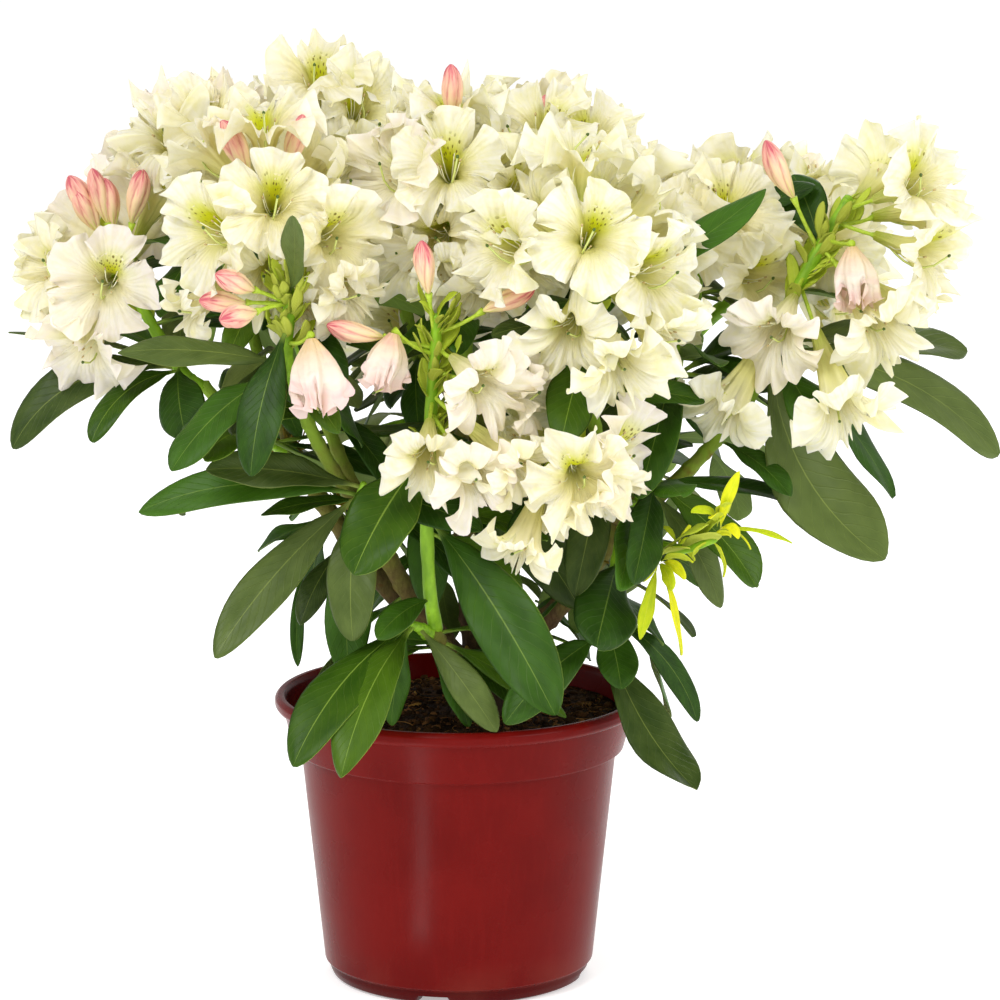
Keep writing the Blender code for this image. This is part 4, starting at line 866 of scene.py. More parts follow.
def leafMaterial(name, deep, fresh, below, rib, gloss):
    # rhododendron leaf: a waxy cuticle over a leathery blade, which gives soft broad highlights;
    # darker between the veins, pale along the midrib and the rim, dull and paler underneath
    mat, shader, add, x, y = newMaterial(name, gloss, 0.15, "leafMap")
    whole = add("MULTIPLY", x, float(leafLook["variants"]))
    u = add("FRACT", whole)
    under = add("GREATER_THAN", u, 0.5)
    centred = add("SUBTRACT", add("FRACT", add("MULTIPLY", u, 2.0)), 0.5)
    away = add("ABSOLUTE", centred)  # 0 midrib, 0.5 rim
    cloudy = add("TexNoise", Vector=stretched(add, (x, 30.0), (y, 7.0)), Scale=1.0, Detail=2.5)
    patchy = add("MapRange", cloudy, 0.3, 0.7, 0.0, 0.34)
    band = add("FLOOR", whole)  # each leaf has one tone of four
    tint = add("MULTIPLY_ADD", band, 0.22, patchy)
    # side veins: about 14 each side, slanting forwards from the midrib
    slant = add("MULTIPLY", add("MULTIPLY_ADD", away, -0.42, y), 15.0 * tau)
    veins = add("MapRange", add("COSINE", add("MULTIPLY_ADD", cloudy, 5.0, slant)), 0.86, 1.0)
    # the midrib is about 1.4 mm wide at the stalk and fades before the tip
    narrow = add("MapRange", y, 0.1, 0.97, 0.016, 0.005)
    midrib = add("MapRange", add("DIVIDE", away, narrow), 1.4, 0.6, 0.0, 0.42)
    faint, netted = (add("MULTIPLY", veins, share) for share in (0.035, 0.15))
    stalk = add("MapRange", y, 0.14, 0.06)
    rim = add("MapRange", away, 0.478, 0.496, 0.0, 0.55)
    above = layered(add, deep, (tint, fresh), (faint, rib), (midrib, rib), (stalk, rib), (rim, rib))
    # underneath: matt, the midrib and veins stand out
    beneath = layered(add, below, (netted, rib), (midrib, rib))
    height = add("MULTIPLY_ADD", veins, -0.5, cloudy)
    add(shader, {"Base Color": layered(add, above, (under, beneath)),
                 "Roughness": add("MapRange", under, 0.0, 1.0, gloss, 0.72),
                 "Normal": add("Bump", Height=height, Distance=0.0006, Strength=0.5)})
    return mat


# flowers: widely funnel-shaped corollas of five ruffled lobes, speckled in the throat

# start: where the funnel leaves the stalk, as a share of the reach; wide: mouth against the plan's;
# bend: slope in degrees at the neck and at the mouth, turnAt: where it turns; lip: degrees that the
# rim turns further out; sinus: depth of the notches; full: mouth at which the waves have full
# height; length: against the mouth; sag: how little a half-open flower nods; seat: where its stalk
# meets it; sizes, bends, lobes, cups: how far each flower differs
corollaLook = dict(
    throatRows=4, rimRows=8, around=64, sleeveRows=6, sleeveTop=0.66, sleeve=0.45 * mm,
    neck=2.6 * mm, blotch=0.4, variants=4, fold=3.8 * mm, sway=2.9 * mm, bellFrom=16.5 * mm,
    openFrom=29.5 * mm, sizes=(0.96, 1.04), bends=(0.9, 1.08), lobes=0.05, cups=(-2.2 * mm, 0.8 * mm),
    flute=1.1 * mm,
    open=dict(start=0.40, wide=1.12, bend=(10, 85), turnAt=(0.10, 0.80), lip=0, sinus=0.32,
              overlap=0.15, ruffle=5.4 * mm, full=30 * mm),
    bell=dict(start=0.34, wide=1.18, bend=(12, 112), turnAt=(0.46, 1.0), lip=0, sinus=0.30,
              overlap=0.13, ruffle=5.0 * mm, full=30 * mm),
    half=dict(start=0.06, wide=0.9, bend=(29, -16), turnAt=(0.15, 0.8), lip=46, sinus=0.36,
              overlap=0.2, ruffle=4.4 * mm, full=16 * mm, length=3.0, sag=0.35, seat=0.62))
# waves of the rim: height, how it grows outwards, number round and phase, and the number, phase
# and share of the slower waves that swell them
ruffles = ((0.7, 2.2, 8, 5, 1, 6, 0.6), (0.7, 3.4, 13, 7, 2, 8, 0.7), (0.56, 6, 22, 9, 3, 13, 0.7),
           (0.32, 9, 35, 0, 4, 11, 0.6))
# waves of the rim's outline, and of the turn round the axis: size, number round and phase
fringe = ((0.028, 9, 2), (0.022, 16, 3), (0.009, 28, 1))
twists = ((0.024, 11, 10), (0.008, 19, 11))


def corollaKind(mouth):
    look = corollaLook
    return look["half" if mouth < look["bellFrom"] else "bell" if mouth < look["openFrom"] else "open"]


def flowerFrame(measures, roll):  # the start, the way and two directions square to it, as arrays
    side, up = framesAlong(measures[1])
    base, aim, side, up = (asArray(v) for v in (*measures[:2], side, up))
    return base, aim, swung(side, up, roll), swung(up, -side, roll)


def flaredFaces(inner, outer, around):
    # inner rows of around points, then outer rows of three times as many; in between, each step
    # of the last inner row meets three of the first outer one. Gives faces, rows, places round
    quads, row, col = gridFaces(inner, around)
    parts = [(quads, row, col / around)]
    if outer:
        quads, row, col = gridFaces(outer, 3 * around)
        parts.append((quads + inner * around, row + inner, col / (3 * around)))
        j = np.arange(around)[:, None]
        for near, far in (((0, 1), (2,)), ((1,), (3, 2)), ((0,), (2, 1)), ((0,), (1, 0))):
            near, far = j + np.array(near), 3 * j + np.array(far)
            points = np.concatenate([(inner - 1) * around + near % around,
                                     inner * around + far % (3 * around)], 1)
            rows = np.concatenate([near * 0 + inner - 1, far * 0 + inner], 1)
            parts.append((points, rows, np.concatenate([near / around, far / (3 * around)], 1)))
    return parts


def drawCorolla(sheaf, measures, seed, roll):
    # base + aim z(s) + (side cos a + up sin a) r(s) + normal (ruffles): the profile's slope goes
    # from neck to mouth, s runs further at a lobe's middle than at a notch, ruffles grow to the rim,
    # and the angle a swings by sin 5u so that the lobes overlap; a sleeve is the tube's outside
    base, aim, side, up = flowerFrame(measures, roll)
    reach, mouth = measures[2:]
    rng = np.random.default_rng(seed)
    look, kind = corollaLook, corollaKind(mouth)
    mouth = mouth * kind["wide"] * rng.uniform(*look["sizes"])
    step = np.linspace(0, 1.12, 180)
    low, high = kind["bend"]
    slope = np.radians(low + (high * rng.uniform(*look["bends"]) - low) * softStep(step, *kind["turnAt"]))
    slope = slope + math.radians(kind["lip"]) * softStep(step, 0.8, 1.02)
    r = np.concatenate([[0], np.cumsum(np.sin(slope))[:-1]])
    z = np.concatenate([[0], np.cumsum(np.cos(slope))[:-1]])
    atMouth = np.searchsorted(step, 1.0)
    r = look["neck"] + r * (mouth - look["neck"]) / max(r[atMouth], r[:atMouth].max())
    z = z * reach * (1 - kind["start"]) / z[atMouth]
    phase = rng.uniform(0, tau, 14)
    lobeSize = 1 + rng.uniform(-look["lobes"], look["lobes"], 5)
    size = min(1.0, mouth / kind["full"])
    fold, cup = look["fold"] * rng.choice([-1, 1]), rng.uniform(*look["cups"])

    def waves(u, table):
        return sum(amount * np.sin(count * u + phase[k]) for amount, count, k in table)

    def surface(v, u, lift):
        notch = 1 - np.abs(np.cos(2.5 * u))
        extent = 1 - kind["sinus"] * notch ** 1.9 * softStep(v, 0.3, 1.0)
        extent = extent * (1 + (lobeSize[np.round(u / tau * 5).astype(int) % 5] - 1) * (1 - notch) ** 0.5)
        s = np.clip(v * (extent + v ** 3 * waves(u, fringe)), 0, 1.1)
        radius, height, tilt = np.interp(s, step, r), np.interp(s, step, z), np.interp(s, step, slope)
        wave = fold * np.sin(5 * u + 0.5 * np.sin(u + phase[12])) + look["sway"] * np.sin(2 * u + phase[4])
        wave = v ** 2 * wave + v ** 1.5 * np.cos(5 * u) * cup
        ruffle = sum(height * v ** power * np.sin(count * u + phase[k])
                     * (1 + share * np.sin(slow * u + phase[m]))
                     for height, power, count, k, slow, m, share in ruffles)
        flute = -(1 - v) ** 0.5 * v * np.cos(5 * u) * look["flute"]
        push = (wave + kind["ruffle"] * ruffle) * size + flute + lift
        turn = u + v ** 2 * waves(u, twists) + kind["overlap"] * v ** 3 * np.sin(5 * u)
        turn = turn + math.pi / 2 - look["blotch"] * tau
        radius = np.maximum(radius + push * np.cos(tilt), 0.6 * mm)
        height = height + kind["start"] * reach - push * np.sin(tilt)
        out = side * np.cos(turn)[..., None] + up * np.sin(turn)[..., None]
        return base + aim * height[..., None] + out * radius[..., None]

    variant = rng.integers(look["variants"])
    for throat, rim, top, lift in ((look["throatRows"], look["rimRows"], 1.0, 0.0),
                                   (look["sleeveRows"], 0, look["sleeveTop"], look["sleeve"])):
        v = top * np.linspace(0, 1, throat + rim)[:, None] ** 0.6
        verts = [surface(part, ringTurns(n)[None, :], lift * (1 - 0.8 * (part / top) ** 4)).reshape(-1, 3)
                 for part, n in ((v[:throat], look["around"]), (v[throat:], 3 * look["around"])) if len(part)]
        plain = lift or kind is look["half"]  # the outside bears no speckles
        faces, maps = [], []
        for part, row, place in flaredFaces(throat, rim, look["around"]):
            across = 0.6 + 0.25 * place if plain else place
            faces.append(part)
            maps.append(np.stack([across, (variant + 0.01 + 0.98 * v[row, 0]) / look["variants"]], -1))
        sheaf.add(np.concatenate(verts), faces, maps)


def petalMaterial(name, throat, inner, lobe, rim, glow, flush=None):
    # living petal: thin cell tissue without wax, so light comes softly through it and only the
    # faintest sheen shows; yellow-green throat, dark speckles up the middle of one lobe
    mat, shader, add, x, y = newMaterial(name, 0.62, 0.18, "petalMap")
    whole = add("MULTIPLY", y, float(corollaLook["variants"]))
    v = add("FRACT", whole)
    band = add("FLOOR", whole)
    # clouds of colour, and crinkles 4 mm across whose hollows are given painted shade, a darker yellow
    cloud, crease = (add("TexNoise", Vector=stretched(add, (x, a), (v, b), (band, c)), Scale=1.0, Detail=3.0)
                     for a, b, c in ((9.0, 3.0, 3.7), (44.0, 8.0, 2.3)))
    place = add("ADD", v, add("MULTIPLY_ADD", cloud, 0.22, -0.11))
    base = add("ValToRGB", place, stops=((0.0, throat), (0.38, inner), (0.64, lobe), (0.95, rim)))
    patch = add("MapRange", cloud, 0.5, 0.72, 0.0, 0.45)
    # painted shade: the hollows of the crinkles are tinted with the darker inner yellow
    hollow = add("MapRange", crease, 0.5, 0.28, 0.0, 0.5)
    # fine veins fan out from the throat, about 70 round the mouth
    vein = add("COSINE", add("MULTIPLY_ADD", cloud, 9.0, add("MULTIPLY", x, 70.0 * tau)))
    veinShare = add("MapRange", vein, 0.2, 1.0, 0.0, 0.16)
    # the blotch: yellow-green flare on the middle of one lobe
    aside = add("ABSOLUTE", add("SUBTRACT", x, corollaLook["blotch"]))
    across = add("MapRange", aside, 0.20, 0.04)
    upward = add("MapRange", place, 0.78, 0.48)
    flare = add("MULTIPLY", across, upward)
    # speckles: dashes about 1.2 mm wide and 2.5 mm long in loose rows
    grid = stretched(add, (x, 50.0), (v, 14.0), (band, 5.3))
    spots = add("TexVoronoi", Vector=grid, Scale=1.0, Randomness=0.75)
    fleck, zone, lowEnd, highEnd = (add("MapRange", socket, start, end) for socket, start, end in (
        (spots, 0.33, 0.22), (aside, 0.085, 0.075), (v, 0.32, 0.36), (v, 0.70, 0.62)))
    fleckShare = add("MULTIPLY", fleck, add("MULTIPLY", zone, add("MULTIPLY", lowEnd, highEnd)))
    colour = layered(add, base, (patch, flush or inner), (hollow, inner), (veinShare, inner),
                     (flare, "#D9DF18"), (fleckShare, "#7C7224"))
    relief = add("MULTIPLY_ADD", vein, 0.1, crease)
    add(shader, {"Base Color": colour,
                 "Normal": add("Bump", Height=relief, Distance=0.0022, Strength=0.7)})
    through = add("BsdfTranslucent", Color=layered(add, colour, (0.45, inner)))
    blend = add("MixShader", glow, shader.outputs[0], through)
    mat.node_tree.links.new(blend, mat.node_tree.nodes["Material Output"].inputs["Surface"])
    return mat


# start: share of the reach; lengths, styleLengths: against the room beyond it; spreads, dip, sway:
# against the mouth
stamenLook = dict(count=6, filament=0.42 * mm, anther=0.75 * mm, antherLength=2.4 * mm, style=0.7 * mm,
                  stigma=1.0 * mm, start=0.46, lengths=(0.66, 1.0), styleLengths=(1.0, 1.16),
                  spreads=(0.16, 0.42), dip=0.5, sway=0.25)


def drawStamens(sheaf, measures, seed, roll):
    # filament k: base + aim l t + spread (side cos + up sin) t^1.4 - dip t (1 - 1.25 t) up
    base, aim, side, up = flowerFrame(measures, roll)
    reach, mouth = measures[2:]
    rng = np.random.default_rng(seed + 70000)
    look = stamenLook
    start = base + aim * reach * look["start"]
    room = reach * (1 - look["start"])
    n = look["count"]
    t = np.linspace(0, 1, 5)[None, :, None]
    turn = tau * (np.arange(n) + rng.uniform(-0.3, 0.3, n)) / n
    out = (side * np.cos(turn)[:, None] + up * np.sin(turn)[:, None])[:, None]
    spread = (mouth * rng.uniform(*look["spreads"], n))[:, None, None]
    long = (room * rng.uniform(*look["lengths"], n))[:, None, None]
    dip = mouth * look["dip"]
    paths = start + aim * long * t + out * spread * t ** 1.4 - up * dip * t * (1 - 1.25 * t)
    radii = look["filament"] * (1.15 - 0.4 * t[0, :, 0])
    addTubes(sheaf, paths, radii[None], 3, uv=(0.25, 0.25))
    ahead = unit(paths[:, -1] - paths[:, -2])
    ends = paths[:, -1]
    share = np.linspace(-0.5, 0.5, 3)[None, :, None]
    anthers = ends[:, None] + ahead[:, None] * look["antherLength"] * share
    addTubes(sheaf, anthers, look["anther"] * np.array([[0.5, 1.0, 0.5]]), 4, uv=(0.75, 0.25))
    t = np.linspace(0, 1, 8)[:, None]
    long = room * rng.uniform(*look["styleLengths"])
    sway = rng.uniform(-look["sway"], look["sway"]) * mouth
    style = start + aim * long * t + side * sway * t ** 2 - up * mouth * (0.75 * t - 0.8 * t ** 3.4)
    style[-1] += up * 1.2 * mm
    radii = look["style"] * (1.25 - 0.35 * t[:, 0])
    addTubes(sheaf, style[None], radii[None], 4, uv=(0.25, 0.75))
    way = unit(style[-1] - style[-2])
    head = style[-1] + way * np.linspace(-0.5, 1.8, 4)[:, None] * mm
    addTubes(sheaf, head[None], look["stigma"] * np.array([[0.5, 1.05, 1.0, 0.4]]), 5, uv=(0.75, 0.75))


def stamenMaterial():
    # filaments pale cream, anthers buff, style green-white, stigma dark and sticky: each
    # stands on its own quarter of the map
    mat, shader, add, x, y = newMaterial("stamen_and_style_tissue", 0.4, 0.3, "stamenMap")
    right, upper = (add("GREATER_THAN", socket, 0.5) for socket in (x, y))
    low, high = layered(add, "#F3F1CF", (right, "#C9B27E")), layered(add, "#C9D27A", (right, "#4E6424"))
    add(shader, {"Base Color": layered(add, low, (upper, high))})
    return mat


# buds: closed spindles of five folded petals, rose at the tip and peach at the stalk

budLook = dict(rows=18, around=30, radius=6.9 * mm, length=0.54, twist=1.1, fold=0.30, variants=4,
               pairSwing=0.16)


def drawBud(sheaf, measures, seed):
    # base + aim z + out r sin(pi v^1.1)^0.62 (0.72 + 0.42 v) (1 - f + 1.35 f |sin 2.5 (a + t v)|^0.45)
    # where f is the fold and t the twist
    rng = np.random.default_rng(seed)
    look, reach = budLook, measures[2]
    base, aim, side, up = flowerFrame(measures, rng.uniform(0, tau))
    v = np.linspace(0.02, 0.985, look["rows"])[:, None]
    a = ringTurns(look["around"])[None, :]
    size = rng.uniform(0.88, 1.08)
    crease = np.abs(np.sin(2.5 * (a + look["twist"] * v)))
    body = np.sin(math.pi * v ** 1.1) ** 0.62 * (0.72 + 0.42 * v)
    radius = look["radius"] * size * body * (1 - look["fold"] + look["fold"] * 1.35 * crease ** 0.45)
    height = reach * (1 - look["length"]) + v * reach * look["length"]
    bow = rng.uniform(-2, 2) * mm * np.sin(math.pi * v)
    out = side * np.cos(a)[..., None] + up * np.sin(a)[..., None]
    verts = base + aim * height[..., None] + out * radius[..., None] + side * bow[..., None]
    u = (rng.integers(look["variants"]) + np.arange(look["around"] + 1) / look["around"]) / look["variants"]
    addClosed(sheaf, verts, base + aim * reach * (1 - look["length"]), base + aim * reach, v[:, 0], u)


def budMaterial():
    # petals still folded: tight waxy folds that stay rose-pink until they open
    mat, shader, add, x, y = newMaterial("rose_bud_petal", 0.5, 0.25, "budMap")
    streak = add("TexNoise", Vector=stretched(add, (x, 44.0), (y, 1.6)), Scale=1.6, Detail=4.0)
    shift = add("MULTIPLY_ADD", streak, 1.3, -0.65)
    colour = add("ValToRGB", add("ADD", y, shift), stops=(
        (0.0, "#D8D27A"), (0.22, "#F1D8A8"), (0.55, "#F2CBAA"), (0.82, "#E8A698"), (1.0, "#C45A66")))
    # the five furrows between the folded petals, where the rose is deepest
    angle = add("MULTIPLY", x, budLook["variants"] * tau)
    wound = add("MULTIPLY_ADD", y, budLook["twist"], angle)
    ridge = add("ABSOLUTE", add("SINE", add("MULTIPLY", wound, 2.5)))
    furrow = add("MapRange", ridge, 0.42, 0.0, 0.0, 0.55)
    add(shader, {"Base Color": layered(add, colour, (furrow, "#C6626A")),
                 "Normal": add("Bump", Height=streak, Distance=0.0004, Strength=0.4)})
    return mat


# stalks: flower stalks, and shoots with leaf scars

stalkLook = dict(thin=1.25 * mm, thick=2.6 * mm, sides=7, rings=7, shootSides=14, shootRings=30, scars=5,
                 scar=0.13)


def drawFlowerStalk(sheaf, measures, seed, share):
    base, aim, reach = asArray(measures[0]), asArray(measures[1]), measures[2]
    rng = np.random.default_rng(seed + 900000)
    t = np.linspace(0, 1, stalkLook["rings"])[:, None]
    sag = rng.uniform(-1.5, 3.0) * mm
    path = base + aim * reach * (share + 0.02) * t - np.array([0, 0, 1.0]) * sag * np.sin(math.pi * t)
    thin, thick = stalkLook["thin"], stalkLook["thick"]
    radii = thin * (1.1 - 0.15 * t[:, 0]) + (thick - thin) * softStep(t[:, 0], 0.84, 0.97)
    addTubes(sheaf, path[None], radii[None], stalkLook["sides"])


def drawShoot(sheaf, points, radii, seed):
    # radius (1 + scars + fine noise) round a smooth curve through the shoot's points
    rings, sides = stalkLook["shootRings"], stalkLook["shootSides"]
    path = smoothPath(points, rings)
    t = np.linspace(0, 1, rings)
    radius = np.interp(t, np.linspace(0, 1, len(radii)), radii)
    rng = np.random.default_rng(seed + 31)
    for place in rng.uniform(0.1, 0.85, stalkLook["scars"]):
        radius = radius * (1 + stalkLook["scar"] * np.exp(-((t - place) / 0.02) ** 2))
    a = ringTurns(sides)[None, :]
    around = radius[:, None] * (1 + 0.05 * smoothNoise(3 * np.cos(a) + 2, t[:, None] * 25, seed))
    around[-1] *= 0.5
    addClosed(sheaf, tubeRings(path[None], around[None], sides)[0], path[0], path[-1], t, flip=True)


def stalkMaterial(name, old, young, scar, rough):
    # soft green shoot: juicy, faintly glossy, reddish-brown where leaves and scales have dropped
    mat, shader, add, x, y = newMaterial(name, rough, 0.3, "stalkMap")
    cloud = add("TexNoise", Vector=stretched(add, (x, 3.0), (y, 9.0)), Scale=1.3, Detail=5.0)
    tone = add("MapRange", cloud, 0.36, 0.64)
    marks = add("MapRange", cloud, 0.66, 0.74, 0.0, 0.8)
    add(shader, {"Base Color": layered(add, old, (tone, young), (marks, scar)),
                 "Normal": add("Bump", Height=cloud, Distance=0.0008, Strength=0.5)})
    return mat


# bark: trunk and limbs as rough tapering tubes, swollen at the forks and leaf scars

# slim: radii against the solid's, ages: from bark to green wood, each for boughs and for branches
barkLook = dict(limbRings=46, limbSides=20, trunkRings=26, trunkSides=48, ridges=0.035, scars=0.16,
                sunk=3 * mm, fork=0.22, slim=(0.86, 0.76), ages=((0.12, 0.6), (0.45, 0.95)))


def drawLimb(sheaf, path, radii, seed, greenness):
    # radius (1 + swelling at the fork + scars + ridges) round a smooth curve; the map's u runs
    # round the limb and v from old bark at the fork to green wood at the tip
    rings, sides = barkLook["limbRings"], barkLook["limbSides"]
    curve = smoothPath(path, rings)
    t = np.linspace(0, 1, rings)
    radius = np.interp(t, np.linspace(0, 1, len(radii)), radii)
    length = np.linalg.norm(np.diff(curve, axis=0), axis=1).sum()
    radius = radius * (1 + barkLook["fork"] * np.exp(-t * length / (9 * mm)))
    rng = np.random.default_rng(seed)
    for place in np.linspace(0.12, 0.94, 7) + rng.uniform(-0.05, 0.05, 7):
        radius = radius * (1 + barkLook["scars"] * np.exp(-((t - place) * length / (2.2 * mm)) ** 2))
    a = ringTurns(sides)[None, :]
    rough = smoothNoise(5 * np.cos(a), 5 * np.sin(a) + t[:, None] * length / (9 * mm), seed, 9, 6)
    around = radius[:, None] * (1 + barkLook["ridges"] * rough)
    around[-1] *= 0.55
    curve[-1] += (curve[-1] - curve[-2]) * 0.2
    v = greenness[0] + (greenness[1] - greenness[0]) * t
    addClosed(sheaf, tubeRings(curve[None], around[None], sides)[0], curve[0], curve[-1], v, flip=True)


def drawTrunk(sheaf, path):
    # a short stem whose flare falls off upwards, with buttress lobes and lengthwise ridges
    rings, sides = barkLook["trunkRings"], barkLook["trunkSides"]
    foot, top = asArray(path[0]), asArray(path[-1])
    t = np.linspace(0, 1, rings)
    curve = foot + np.outer(t, top - foot)
    curve[:, 2] -= barkLook["sunk"] * (1 - t) ** 3
    flare = np.exp(-np.maximum(curve[:, 2] - foot[2], 0) / growth["flareLength"])
    radius = growth["trunkRadius"] + (growth["footRadius"] - growth["trunkRadius"]) * flare
    a = ringTurns(sides)[None, :]
    lobes = 1 + growth["flareShare"] * flare[:, None] * np.cos(growth["flareLobes"] * a)
    ridges = smoothNoise(6 * np.cos(a), 6 * np.sin(a) + t[:, None] * 5, 5, 9, 6)
    around = radius[:, None] * lobes * (1 + 0.045 * ridges)
    around[-2:] *= np.array([[0.93], [0.70]])
    out = np.stack([np.cos(a) * around, np.sin(a) * around, np.zeros_like(around)], -1)
    addClosed(sheaf, curve[:, None] + out, curve[0], curve[-1], 0.02 + 0.1 * t)


def barkMaterial():
    # thin rhododendron bark: grey-brown and finely cracked when old, olive and smooth when
    # young, with rusty rings where leaves have dropped
    mat, shader, add, x, age = newMaterial("rhododendron_bark_peeling_thin", 0.75, 0.2, "barkMap")
    where = add("TexCoord", out=3)
    stretch = add("Mapping", Vector=where, Scale=(1.0, 1.0, 0.35))
    cracks = add("TexNoise", Vector=stretch, Scale=420.0, Detail=6.0, Roughness=0.7)
    patches = add("TexNoise", Vector=where, Scale=70.0, Detail=3.0)
    shift = add("MULTIPLY_ADD", patches, 0.5, -0.25)
    base = add("ValToRGB", add("ADD", age, shift), stops=(
        (0.0, "#4A3826"), (0.25, "#6B5236"), (0.5, "#7A7434"), (0.75, "#7C962C"), (1.0, "#88AC34")))
    dark = add("MapRange", cracks, 0.42, 0.6, 0.65, 0.0)
    crackShare = add("MULTIPLY", dark, add("MapRange", age, 0.7, 0.1))
    rust = add("MapRange", patches, 0.62, 0.72, 0.0, 0.6)
    add(shader, {"Base Color": layered(add, base, (crackShare, "#2A1C12"), (rust, "#7A3A1C")),
                 "Normal": add("Bump", Height=cracks, Distance=0.0012, Strength=0.8)})
    return mat


# pot: injection-moulded, turned profile with a stepped collar and a rolled lip

def potInside(height):  # radius of the inner wall at a height
    p = potRule
    if height > p["collarBottom"]:
        share = (height - p["collarBottom"]) / (p["height"] - p["collarBottom"])
        return p["collar"] - p["wall"] + share * (p["collarTop"] - p["collar"])
    share = (height - p["footHeight"]) / (p["collarBottom"] - p["footHeight"])
    return p["body"] - p["wall"] + share * (p["bodyTop"] - p["body"])


def softened(corners, gap, steps=5):
    # rounds each corner of a profile by a small curve that starts gap before it; both ends stay
    corners = [np.array(c) for c in corners]
    done = [corners[0]]
    for before, corner, after in zip(corners, corners[1:], corners[2:]):
        sides = [(way, np.linalg.norm(way)) for way in (before - corner, after - corner)]
        a, b = (corner + way / size * min(gap, size * 0.45) for way, size in sides)
        t = np.linspace(0, 1, steps)[:, None]
        done += list(a * (1 - t) ** 2 + corner * 2 * t * (1 - t) + b * t ** 2)
    return np.array(done + [corners[-1]])


def drawPot():
    # a profile (radius, height) turned round Z; the foot ring dips in at four drain notches
    p = potRule
    top, low = p["height"], p["channel"]
    outer = [(0, 0), (p["pad"], 0), (p["pad"] + 2 * mm, low), (p["footInner"] - 2 * mm, low),
             (p["footInner"], 0), (p["foot"] - p["footRound"], 0), (p["foot"] - 1.8 * mm, 1.8 * mm),
             (p["foot"], p["footRound"]), (p["foot"], p["footHeight"] - 1.5 * mm),
             (p["body"], p["footHeight"]), (90 * mm, 63 * mm),
             (p["bodyTop"], p["collarBottom"] - 1 * mm), (p["collar"], p["collarBottom"]),
             (p["collarTop"], top - p["lip"]), (p["rim"] - 2 * mm, top - p["lip"]),
             (p["rim"], top - p["lip"] + 2.5 * mm), (p["rim"], top - 2.5 * mm), (p["rim"] - 2.2 * mm, top),
             (p["rim"] - 5.5 * mm, top)]
    floor = low + 2.2 * mm
    heights = (top - 3 * mm, p["collarBottom"] + 1 * mm, p["collarBottom"] - 1 * mm, floor + 6 * mm)
    inner = [(potInside(h), h) for h in heights] + [(potInside(floor) - 6 * mm, floor), (0, floor)]
    profile = softened(outer + inner, 1.1 * mm)
    a = ringTurns(224)
    radius, height = profile[1:-1, 0][:, None], profile[1:-1, 1][:, None]
    height = np.broadcast_to(height, (len(radius), len(a))).copy()
    ring = (radius[:, 0] > p["footInner"] - 3 * mm) & (profile[1:-1, 1] < p["notchHeight"])
    ring &= np.arange(len(radius)) < len(radius) // 2
    first = math.radians(p["notchTurn"] - 90)
    for k in range(p["notches"]):
        off = np.abs((a - first - tau * k / p["notches"] + math.pi) % tau - math.pi) * p["foot"]
        notch = softStep(-off, -p["notchWidth"] / 2 - 1.2 * mm, -p["notchWidth"] / 2) * p["notchHeight"]
        height[ring] = np.maximum(height[ring], notch[None, :])
    sheaf = Sheaf()
    verts = np.stack([radius * np.cos(a), radius * np.sin(a), height], -1)
    addClosed(sheaf, verts, (0, 0, 0), (0, 0, floor), np.linspace(0, 1, len(radius)))
    return sheaf


def potMaterial():
    # polypropylene, injection-moulded in a polished tool: smooth and glossy, with faint flow
    # lines up the wall, soft handling scuffs and a film of dust and splashed soil at the foot,
    # and painted shade darkening the foot ring
    mat, shader, add = newMaterial("polypropylene_moulded_glossy", 0.22, 0.07)
    where = add("TexCoord", out=3)
    height = add("SeparateXYZ", where, out=2)
    flow = add("Mapping", Vector=where, Scale=(1.0, 1.0, 0.05))
    lines = add("TexNoise", Vector=flow, Scale=260.0, Detail=3.0)
    cloud = add("TexNoise", Vector=where, Scale=22.0, Detail=5.0)
    tone = add("MapRange", cloud, 0.35, 0.65)
    streak = add("MapRange", lines, 0.5, 0.75, 0.0, 0.25)
    nearFoot = add("MapRange", height, 0.030, 0.0, 0.0, 0.35)
    dust = add("MULTIPLY", nearFoot, add("MapRange", cloud, 0.42, 0.7))
    # painted shade: the foot ring below 10.5 mm is darkened to a deep maroon, as if in shadow
    inShade = add("MapRange", height, 0.0105, 0.0085, 0.0, 0.55)  # the foot ring stands back
    speckle = add("TexNoise", Vector=where, Scale=900.0, Detail=2.0)
    relief = add("MULTIPLY_ADD", lines, 0.5, speckle)
    add(shader, {"Base Color": layered(add, "#600A08", (tone, "#680D0A"), (streak, "#72120F"),
                                       (dust, "#7A4234"), (inShade, "#2C0406")),
                 "Roughness": add("MapRange", cloud, 0.3, 0.75, 0.22, 0.34),
                 "Normal": add("Bump", Height=relief, Distance=0.00012, Strength=0.5)})
    return mat


# compost: moist peat with crumbs, fibres and bits of bark

# fibres and chips: how many, lengths and thickness in mm, shades from dark to light; mound: height
# and reach; sizes: a crumb's least radius and what is added
compostLook = dict(rings=46, sides=150, relief=2.4 * mm, hills=26 * mm, lumps=7 * mm, level=-1.5 * mm,
                   mound=(2.2 * mm, 30 * mm), crumbs=1150, sizes=(0.7 * mm, 2.1 * mm),
                   fibres=(190, (6, 24), 0.28, (0.35, 0.9)), chips=(46, (4, 11), 0.9, (0.0, 1.0)))


def soilHeight(x, y):
    # level plus slow hills, small lumps and a low mound at the trunk's foot
    look, foot = compostLook, growth["trunkFoot"]
    hills = smoothNoise(x / look["hills"], y / look["hills"], 3, 6, 3) * 0.5
    lumps = smoothNoise(x / look["lumps"], y / look["lumps"], 4, 11, 4) * 0.5
    high, reach = look["mound"]
    mound = high * np.exp(-((x - foot[0] * mm) ** 2 + (y - foot[1] * mm) ** 2) / reach ** 2)
    return potRule["soil"] + look["relief"] * (hills + lumps) + look["level"] + mound


